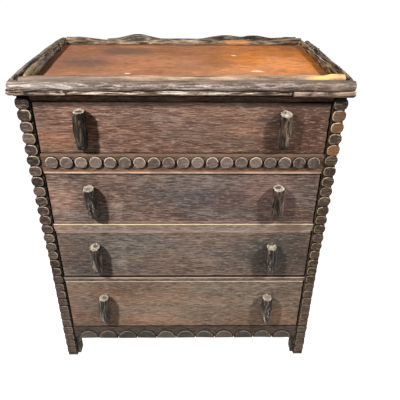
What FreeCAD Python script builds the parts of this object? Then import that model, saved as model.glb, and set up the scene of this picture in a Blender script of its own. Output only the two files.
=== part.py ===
import FreeCAD, Part
import math
import os

# A rustic chest of four drawers, made up of plain boards and trimmed with twigs and slices of branch.
# Millimetres. +Z is up, +Y points to the back and the drawers open towards -Y.
# The origin is on the floor, under the middle of the whole piece.

V = FreeCAD.Vector

# ---- Case --------------------------------------------------------------------------------------
case_width = 460.0             # across the outer faces of the posts
case_depth = 276.0             # post fronts to the back of the back panel
post_width = 18.0              # as seen from the front
post_depth = 20.0
foot_height = 50.5             # floor to the underside of the bottom rail
top_thickness = 12.0
top_side_overhang = 2.0        # beyond the outer faces of the posts
top_front_overhang = 3.0       # ahead of the post fronts
top_back_overhang = 9.0        # behind the back panel
side_panel_thickness = 8.0
side_panel_inset = 3.0         # in from the outer faces of the posts
panel_groove_depth = 6.0       # how far a side panel enters each post
back_panel_thickness = 6.0

# ---- Rails, listed from the top down -----------------------------------------------------------
top_rail_height = 8.1
divider_heights = (33.3, 14.7, 10.8)
bottom_rail_height = 27.2
tenon_length = 9.0
tenon_thickness = 8.0
tenon_shoulder = 1.2           # above and below a rail's tenon
tenon_wall = 1.0               # between a tenon and the groove for the side panel

# ---- Drawers, listed from the top down ---------------------------------------------------------
front_heights = (77.4, 89.0, 92.7, 108.4)
front_gap = 1.2                # above and below a drawer front
front_side_gap = 2.2           # beside a drawer front
front_thickness = 16.0
drawer_back_gap = 22.0         # between a closed drawer's back end and the back panel
side_thickness = 9.0
side_drop = 6.0                # a side stops this far under the top of its front
front_rabbet = 8.0             # how far a side enters the back of its front
back_thickness = 9.0
bottom_thickness = 4.0
bottom_rise = 7.0              # underside of the bottom above the lower edge of the sides
bottom_groove = 4.0            # depth of the groove that holds the bottom
bottom_play = 0.2              # between the bottom's edge and the end of its groove

# ---- Runners -----------------------------------------------------------------------------------
running_gap = 0.3              # between a closed drawer's sides and its runners
runner_thickness = 8.0
runner_cover = 11.0            # how far a runner reaches in under the drawer box
guide_height = 18.0            # above the running face
guide_gap = 0.6                # between a guide and the drawer side

# ---- Pulls: sections of branch -----------------------------------------------------------------
pull_radius = 9.0
pull_standoff = 8.6            # axis ahead of the drawer face
# One row for each drawer, from the top down: upper end in from the end of the drawer front, shift of the
# lower end towards +X, how much the top cut falls towards the front, lower end above the lower edge of the
# drawer front, length.
pulls_left = ((65.5, -1.7, 2.3, 7.0, 61.5),
              (64.3, 3.8, 3.5, 11.0, 60.0),
              (62.0, 0.0, 3.9, 9.5, 61.0),
              (65.5, -4.5, 1.3, 14.0, 65.0))
pulls_right = ((64.0, 1.0, 5.5, 8.0, 58.5),
               (63.6, 2.5, 3.6, 11.0, 60.5),
               (65.0, 3.5, 3.5, 9.5, 61.0),
               (63.1, 2.5, 2.0, 14.0, 65.0))
pull_bevel_height = 13.0       # the whittled lower end
pull_bevel_depth = 11.0
screw_radius = 1.7
screw_head_radius = 3.4
screw_head_depth = 2.4
screw_bite = 9.0               # thread length inside the pull
screw_places = (0.36, 0.78)    # up the pull

# ---- Slices of branch --------------------------------------------------------------------------
slice_thickness = 3.6
post_slice_pitch = 17.6
post_slice_gap = 0.3           # between two slices on a post
post_slice_top_gap = 1.9       # under the top board
post_slice_floor = 8.0         # the lowest slice stays at least this far off the floor
post_slice_wobble = 0.5        # how far the slices' half sizes vary
rail_slice_pitch = 21.76
rail_slice_radius = 10.1
rail_slice_lift = 3.1          # centre above the middle of the divider
rail_slice_wobble = 0.4
bottom_slice_pitch = 36.7
bottom_slice_radius = 17.4
bottom_slice_lift = 1.8        # centre above the rail's lower edge, where the slices are cut flush
bottom_slice_wobble = 0.5

# ---- Twig trim round the top -------------------------------------------------------------------
section_count = 24             # evenly spaced sections that shape each twig
seat_flat = 0.5                # how deep a twig is flattened where it sits
twig_gap = 0.3                 # between neighbouring twigs
branch_radius = 7.1
branch_beyond = 4.5            # past the sides of the top board
branch_ahead = 8.2             # axis ahead of the post fronts
branch_rise = 3.8              # axis above the top board's surface
strip_radius = 6.9
lower_twig_radius = 3.3
lower_twig_drop = 7.0          # axis of the left twig under the top board's surface
lower_twig_step = 1.3          # the right twig lies this much lower
lower_twig_inset = 81.0        # where the right twig starts, in from the side of the top board
lower_twig_beyond = 1.5        # past the sides of the top board
side_twig_beyond = 2.0         # widest reach of the outer side twigs' axes past the sides of the top board
side_outer_radius = 6.0
side_inner_radius = 6.2
back_twig_radius = 4.6
back_twig_inset = 4.0          # axis ahead of the top board's back edge
back_twig_short = 11.0         # stops this far short of the sides of the top board
left_outer_end = 3.0           # beyond the top board's back edge
right_outer_end = 5.5          # short of the top board's back edge
left_inner_start = 24.0        # behind the post fronts
right_inner_start = 18.0
right_inner_break = 130.0      # where the right inner trim changes from one twig to the next
vine_behind = 8.8              # axis behind the back twig's axis at its low places
vine_height = 13.4             # axis of the highest hump above the top board
vine_radius = 3.6
# The bends of the twigs. A side twig's rows: how far along it, shift from its widest axis away from the
# middle of the case, size. The back twig's rows: how far along, size, lift off the board. Shifts, sizes
# and lifts are shares of the twig's full radius.
left_outer_shape = ((0.0, -0.433, 0.93), (0.12, -0.2, 0.97), (0.4, -0.033, 1.0), (0.7, 0.0, 1.0),
                    (0.92, -0.167, 0.97), (1.0, -0.567, 0.88))
right_outer_shape = ((0.0, -0.167, 0.93), (0.1, 0.0, 1.0), (0.4, -0.233, 0.97), (0.7, -0.283, 0.95),
                     (1.0, -0.533, 0.88))
left_inner_shape = ((0.0, -0.387, 0.6), (0.05, -0.323, 0.92), (0.14, -0.242, 1.04), (0.5, -0.129, 1.0),
                    (0.85, -0.194, 0.96), (1.0, -0.419, 0.9))
right_front_shape = ((0.0, -0.258, 0.8), (0.15, -0.194, 0.98), (0.7, -0.226, 1.0), (1.0, -0.29, 0.9))
right_rear_shape = ((0.0, -0.29, 0.86), (0.2, -0.306, 0.96), (0.7, -0.339, 0.94), (1.0, -0.548, 0.88))
back_shape = ((-1.0, 1.36, 0.174), (-0.88, 1.32, 0.13), (-0.74, 1.0, 0.0), (-0.6, 0.80, 0.0),
              (-0.42, 0.76, 0.0), (-0.25, 0.94, 0.0), (0.0, 1.0, 0.0), (0.28, 0.88, 0.0),
              (0.5, 0.96, 0.0), (0.72, 1.0, 0.109), (0.92, 1.12, 0.478), (1.0, 1.0, 0.696))

# ---- Small pieces ------------------------------------------------------------------------------
nail_radius = 0.8
nail_head_radius = 1.8
nail_head_thickness = 0.8
nail_bite = 8.0                # length in the board
outer_nail_inset = 1.3         # from the outer side twigs' widest axis
inner_nail_inset = 1.1         # from the inner side twigs' widest axis
# Where the nails are: along the side twigs as a share of the case's depth, and along the front
# and back twigs as a share of the twig's half length.
outer_left_nails = (0.22, 0.72)
outer_right_nails = (0.25, 0.70)
inner_left_nails = (0.30, 0.80)
inner_right_nails = (0.28, 0.72)
strip_nails = (-0.63, 0.67)
back_nails = (-0.744, -0.135, 0.541)
branch_nails = (-0.681, 0.049, 0.759)
thin_left_nails = (-0.79, 0.24)
thin_right_nail = 0.84
foot_block_width = 15.0
foot_block_height = 20.0
foot_block_setback = 2.0       # behind the post fronts
foot_facing_thickness = 6.5
foot_facing_floor = 4.5        # the facings stop this far off the floor

# ---- Places worked out from the sizes above ----------------------------------------------------
front_reach = pull_standoff + pull_radius
back_reach = case_depth + top_back_overhang - back_twig_inset + vine_behind + vine_radius
face_y = (front_reach - back_reach) / 2.0      # the plane of the post fronts and drawer faces
case_half = case_width / 2.0
post_inner = case_half - post_width
back_face_y = face_y + case_depth
back_panel_y = back_face_y - back_panel_thickness
rear_post_y = back_panel_y - post_depth
front_post_back_y = face_y + post_depth
panel_outer = case_half - side_panel_inset
panel_inner = panel_outer - side_panel_thickness

rail_heights = (top_rail_height,) + divider_heights
front_half = post_inner - front_side_gap

level = foot_height + bottom_rail_height
drawer_length = case_depth - back_panel_thickness - drawer_back_gap      # front face to back end
drawer_floors = []             # underside of each drawer front, from the top down
rail_floors = []               # underside of the rail above each drawer, from the top down
for rail_height, front_height in zip(reversed(rail_heights), reversed(front_heights)):
    drawer_floors.insert(0, level + front_gap)
    level += front_gap + front_height + front_gap
    rail_floors.insert(0, level)
    level += rail_height
case_height = level
top_surface = case_height + top_thickness
board_half = case_half + top_side_overhang
branch_half_length = board_half + branch_beyond
lower_twig_half_length = board_half + lower_twig_beyond
lower_twig_split = board_half - lower_twig_inset
side_twig_axis = board_half + side_twig_beyond
back_twig_half_length = board_half - back_twig_short
strip_half_length = side_twig_axis - twig_gap + side_outer_radius * min(
    aside - size for along, aside, size in left_outer_shape + right_outer_shape)
board_front_y = face_y - top_front_overhang
board_back_y = back_face_y + top_back_overhang
back_twig_y = board_back_y - back_twig_inset


# ---- Helpers -----------------------------------------------------------------------------------
def box(x0, x1, y0, y1, z0, z1):
    return Part.makeBox(x1 - x0, y1 - y0, z1 - z0, V(x0, y0, z0))


def mirrored(shape):
    """The same piece on the other side of the middle plane."""
    return shape.mirror(V(0, 0, 0), V(1, 0, 0))


def group(solids):
    return Part.makeCompound(solids)


def wobble(index, depth):
    """An even-handed, repeatable unevenness for hand-cut pieces, between -depth and +depth."""
    return depth * math.sin(2.4 * index + 0.7 * math.sin(1.9 * index))


def round_run(direction, stations):
    """A smooth round branch through (x, y, z, radius) stations, each section square to direction."""
    wires = [Part.Wire(Part.Circle(V(x, y, z), direction, radius).toShape()) for x, y, z, radius in stations]
    return Part.makeLoft(wires, True, False)


def evened(shape):
    """Evenly spaced rows read off smooth curves through the given rows (along, value, value, ...)."""
    rows = [shape[0]]
    step = 1.0 / section_count
    span = shape[-1][0] - shape[0][0]
    index = 0
    for count in range(1, section_count):
        along = shape[0][0] + span * step * count
        while shape[index + 1][0] < along:
            index += 1
        rows.append((along,) + tuple(curve_value(shape, index, column, along)
                                     for column in range(1, len(shape[0]))))
    rows.append(shape[-1])
    return rows


def curve_value(shape, index, column, along):
    """A cubic between two rows that leaves each of them at the slope of its neighbours."""
    low = shape[index]
    high = shape[index + 1]
    before = shape[max(index - 1, 0)]
    after = shape[min(index + 2, len(shape) - 1)]
    width = high[0] - low[0]
    low_slope = (high[column] - before[column]) / (high[0] - before[0]) * width
    high_slope = (after[column] - low[column]) / (after[0] - low[0]) * width
    t = (along - low[0]) / width
    return ((2.0 * t ** 3 - 3.0 * t ** 2 + 1.0) * low[column] + (t ** 3 - 2.0 * t ** 2 + t) * low_slope
            + (3.0 * t ** 2 - 2.0 * t ** 3) * high[column] + (t ** 3 - t ** 2) * high_slope)


def seated_z(radius):
    """Axis height of a twig that is flattened a little where it sits on the top board."""
    return top_surface + radius - seat_flat


# ---- Case --------------------------------------------------------------------------------------
def top_board():
    return box(-board_half, board_half, board_front_y, board_back_y, case_height, top_surface)


def tenon_box(x0, x1, z0, height):
    """The tenons at both ends of a rail, in one bar, just ahead of the grooves for the side panels."""
    back_y = front_post_back_y - panel_groove_depth - tenon_wall
    return box(x0, x1, back_y - tenon_thickness, back_y, z0 + tenon_shoulder, z0 + height - tenon_shoulder)


def rail(z0, height):
    """A rail between the front posts, as deep as they are, with a stub tenon at each end."""
    body = box(-post_inner, post_inner, face_y, front_post_back_y, z0, z0 + height)
    reach = post_inner + tenon_length
    return body.fuse(tenon_box(-reach, reach, z0, height)).removeSplitter()


def side_panel():
    """The right panel, let into grooves in the front and rear posts."""
    return box(panel_inner, panel_outer, front_post_back_y - panel_groove_depth,
               rear_post_y + panel_groove_depth, foot_height, case_height)


def front_post(rails):
    post = box(post_inner, case_half, face_y, front_post_back_y, 0, case_height)
    return post.cut([side_panel()] + rails)


def rear_post():
    post = box(post_inner, case_half, rear_post_y, back_panel_y, 0, case_height)
    return post.cut(side_panel())


def back_panel():
    return box(-case_half, case_half, back_panel_y, back_face_y, foot_height, case_height)


def runner(floor):
    """One right-hand runner: a ledge under the drawer side and a guide beside it."""
    running_face = floor - running_gap
    ledge = box(front_half - runner_cover, panel_inner, front_post_back_y, rear_post_y,
                running_face - runner_thickness, running_face)
    guide = box(front_half + guide_gap, panel_inner, front_post_back_y, rear_post_y,
                running_face, running_face + guide_height)
    return ledge.fuse(guide).removeSplitter()


def drawer_runners():
    right = [runner(floor) for floor in drawer_floors]
    return group(right + [mirrored(piece) for piece in right])


def foot_blocks():
    """Under the bottom rail, a tapered block in each corner and a facing on the post below it."""
    low = foot_height - foot_block_height
    front_y = face_y + foot_block_setback
    corner = Part.makePolygon([
        V(post_inner, front_y, foot_height),
        V(post_inner - foot_block_width, front_y, foot_height),
        V(post_inner - foot_facing_thickness, front_y, low),
        V(post_inner, front_y, low),
        V(post_inner, front_y, foot_height)])
    block = Part.Face(corner).extrude(V(0, front_post_back_y - front_y, 0))
    facing = box(post_inner - foot_facing_thickness, post_inner, front_y, front_post_back_y,
                 foot_facing_floor, low)
    right = [block, facing]
    return group(right + [mirrored(piece) for piece in right])


# ---- Drawers -----------------------------------------------------------------------------------
def screw(x, z):
    """A countersunk screw from inside the drawer, through the front and into the pull."""
    inside = face_y + front_thickness
    forward = V(0, -1, 0)
    head = Part.makeCone(screw_head_radius, screw_radius, screw_head_depth, V(x, inside, z), forward)
    shank_length = front_thickness - screw_head_depth + screw_bite
    shank = Part.makeCylinder(screw_radius, shank_length, V(x, inside - screw_head_depth, z), forward)
    return head.fuse(shank).removeSplitter()


def wedge(x0, x1, outline):
    """A prism along X over an outline of (y, z) corners."""
    corners = [V(x0, y, z) for y, z in outline + outline[:1]]
    return Part.Face(Part.makePolygon(corners)).extrude(V(x1 - x0, 0, 0))


def pull(top_x, lean, slant, low, length):
    """A section of branch: round, flat at the back, cut slanting on top, tapered and whittled below."""
    # How far up, share of the full radius, share of the full standoff. The end above 1 is cut off.
    shape = ((0.0, 0.72, 0.62), (0.18, 0.89, 0.84), (0.5, 0.96, 0.95), (0.82, 1.0, 1.0), (1.2, 0.97, 0.97))
    stations = [
        (top_x + lean * (1.0 - up), face_y - pull_standoff * out, low + length * up, pull_radius * size)
        for up, size, out in shape]
    branch = round_run(V(0, 0, 1), stations)
    wide = 4.0 * pull_radius
    left = top_x - wide
    right = top_x + wide
    tip = face_y - front_reach
    high = low + length
    behind = box(left, right, face_y, face_y + wide, low - wide, high + wide)
    bevel = wedge(left, right, [(tip, low), (tip + pull_bevel_depth, low), (tip, low + pull_bevel_height)])
    steepness = slant / front_reach
    above = high + 2.0 * wide
    top_cut = wedge(left, right, [
        (face_y + wide, high + steepness * wide), (face_y + wide, above),
        (tip - wide, above), (tip - wide, high - slant - steepness * wide)])
    return branch.cut([behind, bevel, top_cut])


def pull_screws(top_x, lean, low, length):
    return [screw(top_x + lean * (1.0 - up), low + length * up) for up in screw_places]


def drawer(index):
    """All the pieces of one drawer, by name."""
    floor = drawer_floors[index]
    height = front_heights[index]
    inside_y = face_y + front_thickness
    end_y = face_y + drawer_length
    side_top = floor + height - side_drop
    side_inner = front_half - side_thickness
    groove_x = side_inner + bottom_groove
    groove_z = floor + bottom_rise

    pulls = {}
    screws = []
    for hand, side, rows in (("left", -1, pulls_left), ("right", 1, pulls_right)):
        inset, lean, slant, rise, length = rows[index]
        top_x = side * (front_half - inset)
        own_screws = pull_screws(top_x, lean, floor + rise, length)
        pulls[hand] = pull(top_x, lean, slant, floor + rise, length).cut(own_screws)
        screws += own_screws

    groove = box(-groove_x, groove_x, inside_y - bottom_groove, end_y, groove_z, groove_z + bottom_thickness)
    side = box(side_inner, front_half, inside_y - front_rabbet, end_y, floor, side_top)
    front = box(-front_half, front_half, face_y, inside_y, floor, floor + height)
    back = box(-side_inner, side_inner, end_y - back_thickness, end_y, groove_z + bottom_thickness, side_top)
    bottom_x = groove_x - bottom_play
    bottom = box(-bottom_x, bottom_x, inside_y - bottom_groove + bottom_play, end_y,
                 groove_z, groove_z + bottom_thickness)
    return {
        "front": front.cut([side, mirrored(side), groove] + screws),
        "side_left": mirrored(side.cut(groove)),
        "side_right": side.cut(groove),
        "back": back,
        "bottom": bottom,
        "pull_left": pulls["left"],
        "pull_right": pulls["right"],
        "pull_screws": group(screws),
    }


# ---- Slices ------------------------------------------------------------------------------------
def slice_disc(x, z, half_width, half_height):
    """A thin slice of branch lying against the face of a post or rail."""
    plane = V(0, -1, 0)
    along = V(1, 0, 0) if half_width > half_height else V(0, 0, 1)
    large = max(half_width, half_height)
    small = min(half_width, half_height)
    if large - small < 0.01:
        outline = Part.Circle(V(x, face_y, z), plane, large)
    else:
        outline = Part.Ellipse(V(x, face_y, z) + along * large,
                               V(x, face_y, z) + plane.cross(along) * small, V(x, face_y, z))
    return Part.Face(Part.Wire(outline.toShape())).extrude(plane * slice_thickness)


def post_slices():
    """One column of slices down the right post, as many as reach the foot."""
    half_height = (post_slice_pitch - post_slice_gap) / 2.0
    first = case_height - post_slice_top_gap - half_height
    count = int((first - half_height - post_slice_floor) / post_slice_pitch) + 1
    middle = case_half - post_width / 2.0
    discs = []
    for index in range(count):
        discs.append(slice_disc(middle, first - post_slice_pitch * index,
                                post_width / 2.0 - abs(wobble(index, post_slice_wobble)),
                                half_height - abs(wobble(index + count, post_slice_wobble))))
    return discs


def row_centres(pitch):
    """Centres of a row of slices that fills the width between the posts."""
    count = int(2.0 * post_inner / pitch)
    return [pitch * (index - (count - 1) / 2.0) for index in range(count)]


def rail_slices():
    z = rail_floors[1] + divider_heights[0] / 2.0 + rail_slice_lift
    centres = row_centres(rail_slice_pitch)
    radii = [rail_slice_radius - abs(wobble(index, rail_slice_wobble)) for index in range(len(centres))]
    return [slice_disc(x, z, radius, radius) for x, radius in zip(centres, radii)]


def bottom_rail_slices():
    z = foot_height + bottom_slice_lift
    wide = case_width
    below = box(-wide, wide, face_y - wide, face_y + wide, foot_height - wide, foot_height)
    centres = row_centres(bottom_slice_pitch)
    radii = [bottom_slice_radius - abs(wobble(index, bottom_slice_wobble)) for index in range(len(centres))]
    return [slice_disc(x, z, radius, radius).cut(below) for x, radius in zip(centres, radii)]


# ---- Twig trim ---------------------------------------------------------------------------------
def front_branch():
    """The thick branch along the front edge of the top board."""
    shape = ((-1.0, 0.80), (-0.93, 0.98), (-0.5, 1.0), (-0.1, 0.95), (0.35, 1.0), (0.7, 0.96), (0.95, 1.0),
             (1.0, 0.86))
    z = top_surface + branch_rise
    return round_run(V(1, 0, 0), [(branch_half_length * along, face_y - branch_ahead, z, branch_radius * size)
                                  for along, size in evened(shape)])


def front_strip():
    """The worn twig on the top board, just behind the front branch and between the outer side twigs."""
    y = strip_axis_y()
    shape = ((-1.0, 0.86), (-0.8, 0.97), (-0.3, 1.0), (0.2, 0.95), (0.75, 1.0), (1.0, 0.9))
    return round_run(V(1, 0, 0), [
        (strip_half_length * along, y, seated_z(strip_radius * size), strip_radius * size)
        for along, size in evened(shape)])


def front_twigs():
    """Two thin twigs end to end under the branch, on the edge of the top board."""
    y = board_front_y - lower_twig_radius + seat_flat
    z = top_surface - lower_twig_drop
    left_end = lower_twig_split - twig_gap
    left = [(x, y, z, lower_twig_radius * size) for x, size in
            ((-lower_twig_half_length, 0.85), (-0.5 * left_end, 1.0), (0.4 * left_end, 0.95),
             (left_end, 0.9))]
    right = [(x, y, z - lower_twig_step, lower_twig_radius * size) for x, size in
             ((lower_twig_split + twig_gap, 0.95), ((lower_twig_split + lower_twig_half_length) / 2.0, 1.0),
              (lower_twig_half_length, 0.9))]
    return [round_run(V(1, 0, 0), left), round_run(V(1, 0, 0), right)]


def strip_axis_y():
    return face_y - branch_ahead + branch_radius + twig_gap + strip_radius


def outer_side_twig(hand, end_y, shape):
    """The outer twig along one side of the top, from just behind the front branch."""
    start_y = face_y - branch_ahead + branch_radius + twig_gap
    return round_run(V(0, 1, 0), [
        (hand * (side_twig_axis + side_outer_radius * aside), start_y + (end_y - start_y) * along,
         seated_z(side_outer_radius * size), side_outer_radius * size)
        for along, aside, size in evened(shape)])


def inner_side_twig(hand, start_y, end_y, shape):
    """A twig lying along the inside of the outer side twig."""
    axis = side_twig_axis - side_outer_radius - twig_gap
    return round_run(V(0, 1, 0), [
        (hand * (axis + side_inner_radius * (aside - size)), start_y + (end_y - start_y) * along,
         seated_z(side_inner_radius * size), side_inner_radius * size)
        for along, aside, size in evened(shape)])


def inner_left_twig():
    """It starts in a rounded nose behind the front strip."""
    return inner_side_twig(-1, face_y + left_inner_start, back_twig_front(), left_inner_shape)


def inner_right_twigs():
    """Two twigs, one behind the other."""
    break_y = face_y + right_inner_break
    return [inner_side_twig(1, face_y + right_inner_start, break_y - twig_gap, right_front_shape),
            inner_side_twig(1, break_y + twig_gap, back_twig_front(), right_rear_shape)]


def back_twig_front():
    """Where the side twigs end: just ahead of the back twig's thick left end."""
    return back_twig_y - back_twig_radius * max(size for along, size, lift in back_shape) - twig_gap


def back_twig():
    return round_run(V(1, 0, 0), [
        (back_twig_half_length * along, back_twig_y,
         seated_z(back_twig_radius * size) + back_twig_radius * lift, back_twig_radius * size)
        for along, size, lift in evened(back_shape)])


def back_vine():
    """A gnarled vine that weaves behind the back twig and rises over it in three humps."""
    # How far along the back twig, share of vine_behind, share of vine_height, share of the radius.
    shape = ((-0.68, 1.0, 0.38, 0.72), (-0.56, 1.0, 0.52, 0.89), (-0.48, 0.86, 0.84, 0.97),
             (-0.40, 0.72, 1.0, 1.0), (-0.32, 0.86, 0.76, 0.97), (-0.22, 1.0, 0.42, 0.9),
             (-0.04, 1.0, 0.40, 0.83), (0.14, 1.0, 0.43, 0.83), (0.24, 0.9, 0.72, 0.9),
             (0.33, 0.8, 0.87, 0.94), (0.42, 0.86, 0.80, 0.89), (0.48, 0.94, 0.70, 0.83),
             (0.53, 0.9, 0.80, 0.9), (0.59, 0.82, 0.92, 0.94), (0.66, 0.94, 0.72, 0.9),
             (0.75, 1.0, 0.52, 0.9), (0.88, 1.0, 0.66, 1.0), (0.96, 1.0, 0.70, 0.8))
    return round_run(V(1, 0, 0), [
        (back_twig_half_length * along, back_twig_y + vine_behind * behind, top_surface + vine_height * up,
         vine_radius * size)
        for along, behind, up, size in evened(shape)])


# ---- Nails -------------------------------------------------------------------------------------
def nail(point, direction, buried):
    """A nail whose head stands on the wood at point, its shank buried along direction."""
    shank = Part.makeCylinder(nail_radius, buried, point, direction)
    head = Part.makeCylinder(nail_head_radius, nail_head_thickness, point, direction * -1.0)
    return head.fuse(shank).removeSplitter()


def top_nails():
    """Nails down through the side, front and back twigs into the top board."""
    outer_x = side_twig_axis - outer_nail_inset
    inner_x = side_twig_axis - side_outer_radius - twig_gap - side_inner_radius - inner_nail_inset
    sides = ((-outer_x, side_outer_radius, outer_left_nails), (outer_x, side_outer_radius, outer_right_nails),
             (-inner_x, side_inner_radius, inner_left_nails), (inner_x, side_inner_radius, inner_right_nails))
    rows = ((strip_half_length, strip_axis_y(), strip_radius, strip_nails),
            (back_twig_half_length, back_twig_y, back_twig_radius, back_nails))
    places = [(x, face_y + case_depth * share, radius) for x, radius, shares in sides for share in shares]
    places += [(half * share, y, radius) for half, y, radius, shares in rows for share in shares]
    nails = []
    for x, y, radius in places:
        thick = 2.0 * radius - seat_flat
        nails.append(nail(V(x, y, top_surface + thick), V(0, 0, -1), thick + nail_bite))
    return nails


def front_nails():
    """Nails back through the branch and the thin twigs into the edge of the top board."""
    back = V(0, 1, 0)
    nails = []
    branch_front_y = face_y - branch_ahead - branch_radius
    for share in branch_nails:
        nails.append(nail(V(branch_half_length * share, branch_front_y, top_surface - nail_head_radius), back,
                          board_front_y - branch_front_y + nail_bite))
    thick = 2.0 * lower_twig_radius - seat_flat
    places = [(share, lower_twig_drop) for share in thin_left_nails]
    places.append((thin_right_nail, lower_twig_drop + lower_twig_step))
    for share, drop in places:
        nails.append(nail(V(lower_twig_half_length * share, board_front_y - thick, top_surface - drop), back,
                          thick + nail_bite))
    return nails


# ---- Putting it together -----------------------------------------------------------------------
def case_pieces():
    rail_names = ("top_rail", "divider_rail_1", "divider_rail_2", "divider_rail_3")
    rails = {name: rail(z0, height) for name, z0, height in zip(rail_names, rail_floors, rail_heights)}
    rails["bottom_rail"] = rail(foot_height, bottom_rail_height)
    right_front = front_post(list(rails.values()))
    pieces = {
        "side_panel_left": mirrored(side_panel()),
        "side_panel_right": side_panel(),
        "post_front_left": mirrored(right_front),
        "post_front_right": right_front,
        "post_rear_left": mirrored(rear_post()),
        "post_rear_right": rear_post(),
        "back_panel": back_panel(),
        "drawer_runners": drawer_runners(),
        "foot_blocks": foot_blocks(),
    }
    pieces.update(rails)
    return pieces


def trim_pieces():
    """The top board with its twigs; each twig is flattened on the board and drilled for its nails."""
    board = top_board()
    nails = top_nails() + front_nails()
    cutters = [board] + nails
    left_end_y = board_back_y + left_outer_end
    right_end_y = board_back_y - right_outer_end
    return {
        "top_board": board.cut(nails),
        "trim_front_branch": front_branch().cut(cutters),
        "trim_front_strip": front_strip().cut(cutters),
        "trim_front_twigs": group([twig.cut(cutters) for twig in front_twigs()]),
        "trim_left_outer": outer_side_twig(-1, left_end_y, left_outer_shape).cut(cutters),
        "trim_left_inner": inner_left_twig().cut(cutters),
        "trim_right_outer": outer_side_twig(1, right_end_y, right_outer_shape).cut(cutters),
        "trim_right_inner": group([twig.cut(cutters) for twig in inner_right_twigs()]),
        "trim_back_twig": back_twig().cut(cutters),
        "trim_back_vine": back_vine().cut(cutters),
        "trim_nails": group(nails),
    }


def slice_pieces():
    right = post_slices()
    return {
        "slices_posts": group(right + [mirrored(disc) for disc in right]),
        "slices_rail": group(rail_slices()),
        "slices_bottom_rail": group(bottom_rail_slices()),
    }


def drawer_pieces():
    pieces = {}
    for index in range(len(front_heights)):
        for name, shape in drawer(index).items():
            pieces["drawer_%d_%s" % (index + 1, name)] = shape
    return pieces


def main():
    pieces = {}
    pieces.update(case_pieces())
    pieces.update(trim_pieces())
    pieces.update(slice_pieces())
    pieces.update(drawer_pieces())
    os.makedirs("parts", exist_ok=True)
    for name, shape in pieces.items():
        shape.exportStep("parts/%s.step" % name)
    return pieces


main()
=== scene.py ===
import math
import random

import bmesh
import bpy
from mathutils import Matrix, Vector, noise
from mathutils.bvhtree import BVHTree


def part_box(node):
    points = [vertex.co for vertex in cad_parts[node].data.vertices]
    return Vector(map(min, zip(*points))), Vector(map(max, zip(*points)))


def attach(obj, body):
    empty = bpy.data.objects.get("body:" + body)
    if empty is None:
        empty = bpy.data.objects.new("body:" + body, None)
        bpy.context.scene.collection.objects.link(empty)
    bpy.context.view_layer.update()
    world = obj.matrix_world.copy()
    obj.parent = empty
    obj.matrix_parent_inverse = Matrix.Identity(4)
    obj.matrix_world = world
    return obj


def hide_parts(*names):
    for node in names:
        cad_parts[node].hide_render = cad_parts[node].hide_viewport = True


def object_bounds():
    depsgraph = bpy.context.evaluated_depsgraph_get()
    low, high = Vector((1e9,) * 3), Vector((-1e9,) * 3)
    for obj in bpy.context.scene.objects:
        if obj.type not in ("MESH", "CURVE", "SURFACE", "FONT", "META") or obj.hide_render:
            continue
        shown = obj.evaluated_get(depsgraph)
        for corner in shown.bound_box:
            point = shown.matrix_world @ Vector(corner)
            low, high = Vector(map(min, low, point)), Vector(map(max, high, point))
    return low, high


# A rustic chest of four drawers: worn oak fronts, a stained top framed by twigs, slices of branch on
# the posts and rails, and sections of branch for pulls. Metres, in the frame's own axes.

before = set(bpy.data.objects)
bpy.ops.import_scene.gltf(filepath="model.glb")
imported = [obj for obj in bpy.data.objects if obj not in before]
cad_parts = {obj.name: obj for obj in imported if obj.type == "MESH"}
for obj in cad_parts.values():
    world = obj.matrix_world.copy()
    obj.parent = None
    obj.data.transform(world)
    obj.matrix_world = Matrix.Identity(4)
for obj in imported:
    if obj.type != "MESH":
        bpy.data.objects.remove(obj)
cad_low, cad_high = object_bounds()

X = Vector((1.0, 0.0, 0.0))
Y = Vector((0.0, 1.0, 0.0))
Z = Vector((0.0, 0.0, 1.0))
MM = 0.001

DRAWERS = (1, 2, 3, 4)
SIDES = ("left", "right")
# The colour of the dark lines painted into gaps between parts and under overhangs: painted shade.
PAINTED_SHADE = (0.016, 0.01, 0.007)
face_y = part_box("post_front_left")[0].y          # the plane of the post fronts and drawer faces
top_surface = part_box("top_board")[1].z


def scaled(factor, values):
    return tuple(factor * value for value in values)


def clamp(value):
    return max(0.0, min(1.0, value))


def ease_in(value, start, end):
    """A smooth step from 0 at start to 1 at end, which may be below start."""
    share = clamp((value - start) / (end - start))
    return share * share * (3.0 - 2.0 * share)


def place(name, data):
    """A new object in the scene."""
    made = bpy.data.objects.new(name, data)
    bpy.context.scene.collection.objects.link(made)
    return made


# ---- Shaders -----------------------------------------------------------------------------------
class Nodes:
    """The nodes of a material or world. Its small calls add nodes and return sockets."""

    def __init__(self, owner):
        owner.use_nodes = True
        self.tree = owner.node_tree

    def node(self, kind, inputs=(), **settings):
        made = self.tree.nodes.new("ShaderNode" + kind)
        for name, value in settings.items():
            setattr(made, name, value)
        for name, value in dict(inputs).items():
            self.put(value, made.inputs[name])
        return made

    def put(self, value, socket):
        """Links a socket, or writes a constant."""
        if isinstance(value, bpy.types.NodeSocket):
            self.tree.links.new(value, socket)
        elif isinstance(value, tuple) and socket.type == "RGBA":
            socket.default_value = value + (1.0,)
        else:
            socket.default_value = value

    def maths(self, operation, *values):
        return self.node("Math", enumerate(values), operation=operation).outputs[0]


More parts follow.
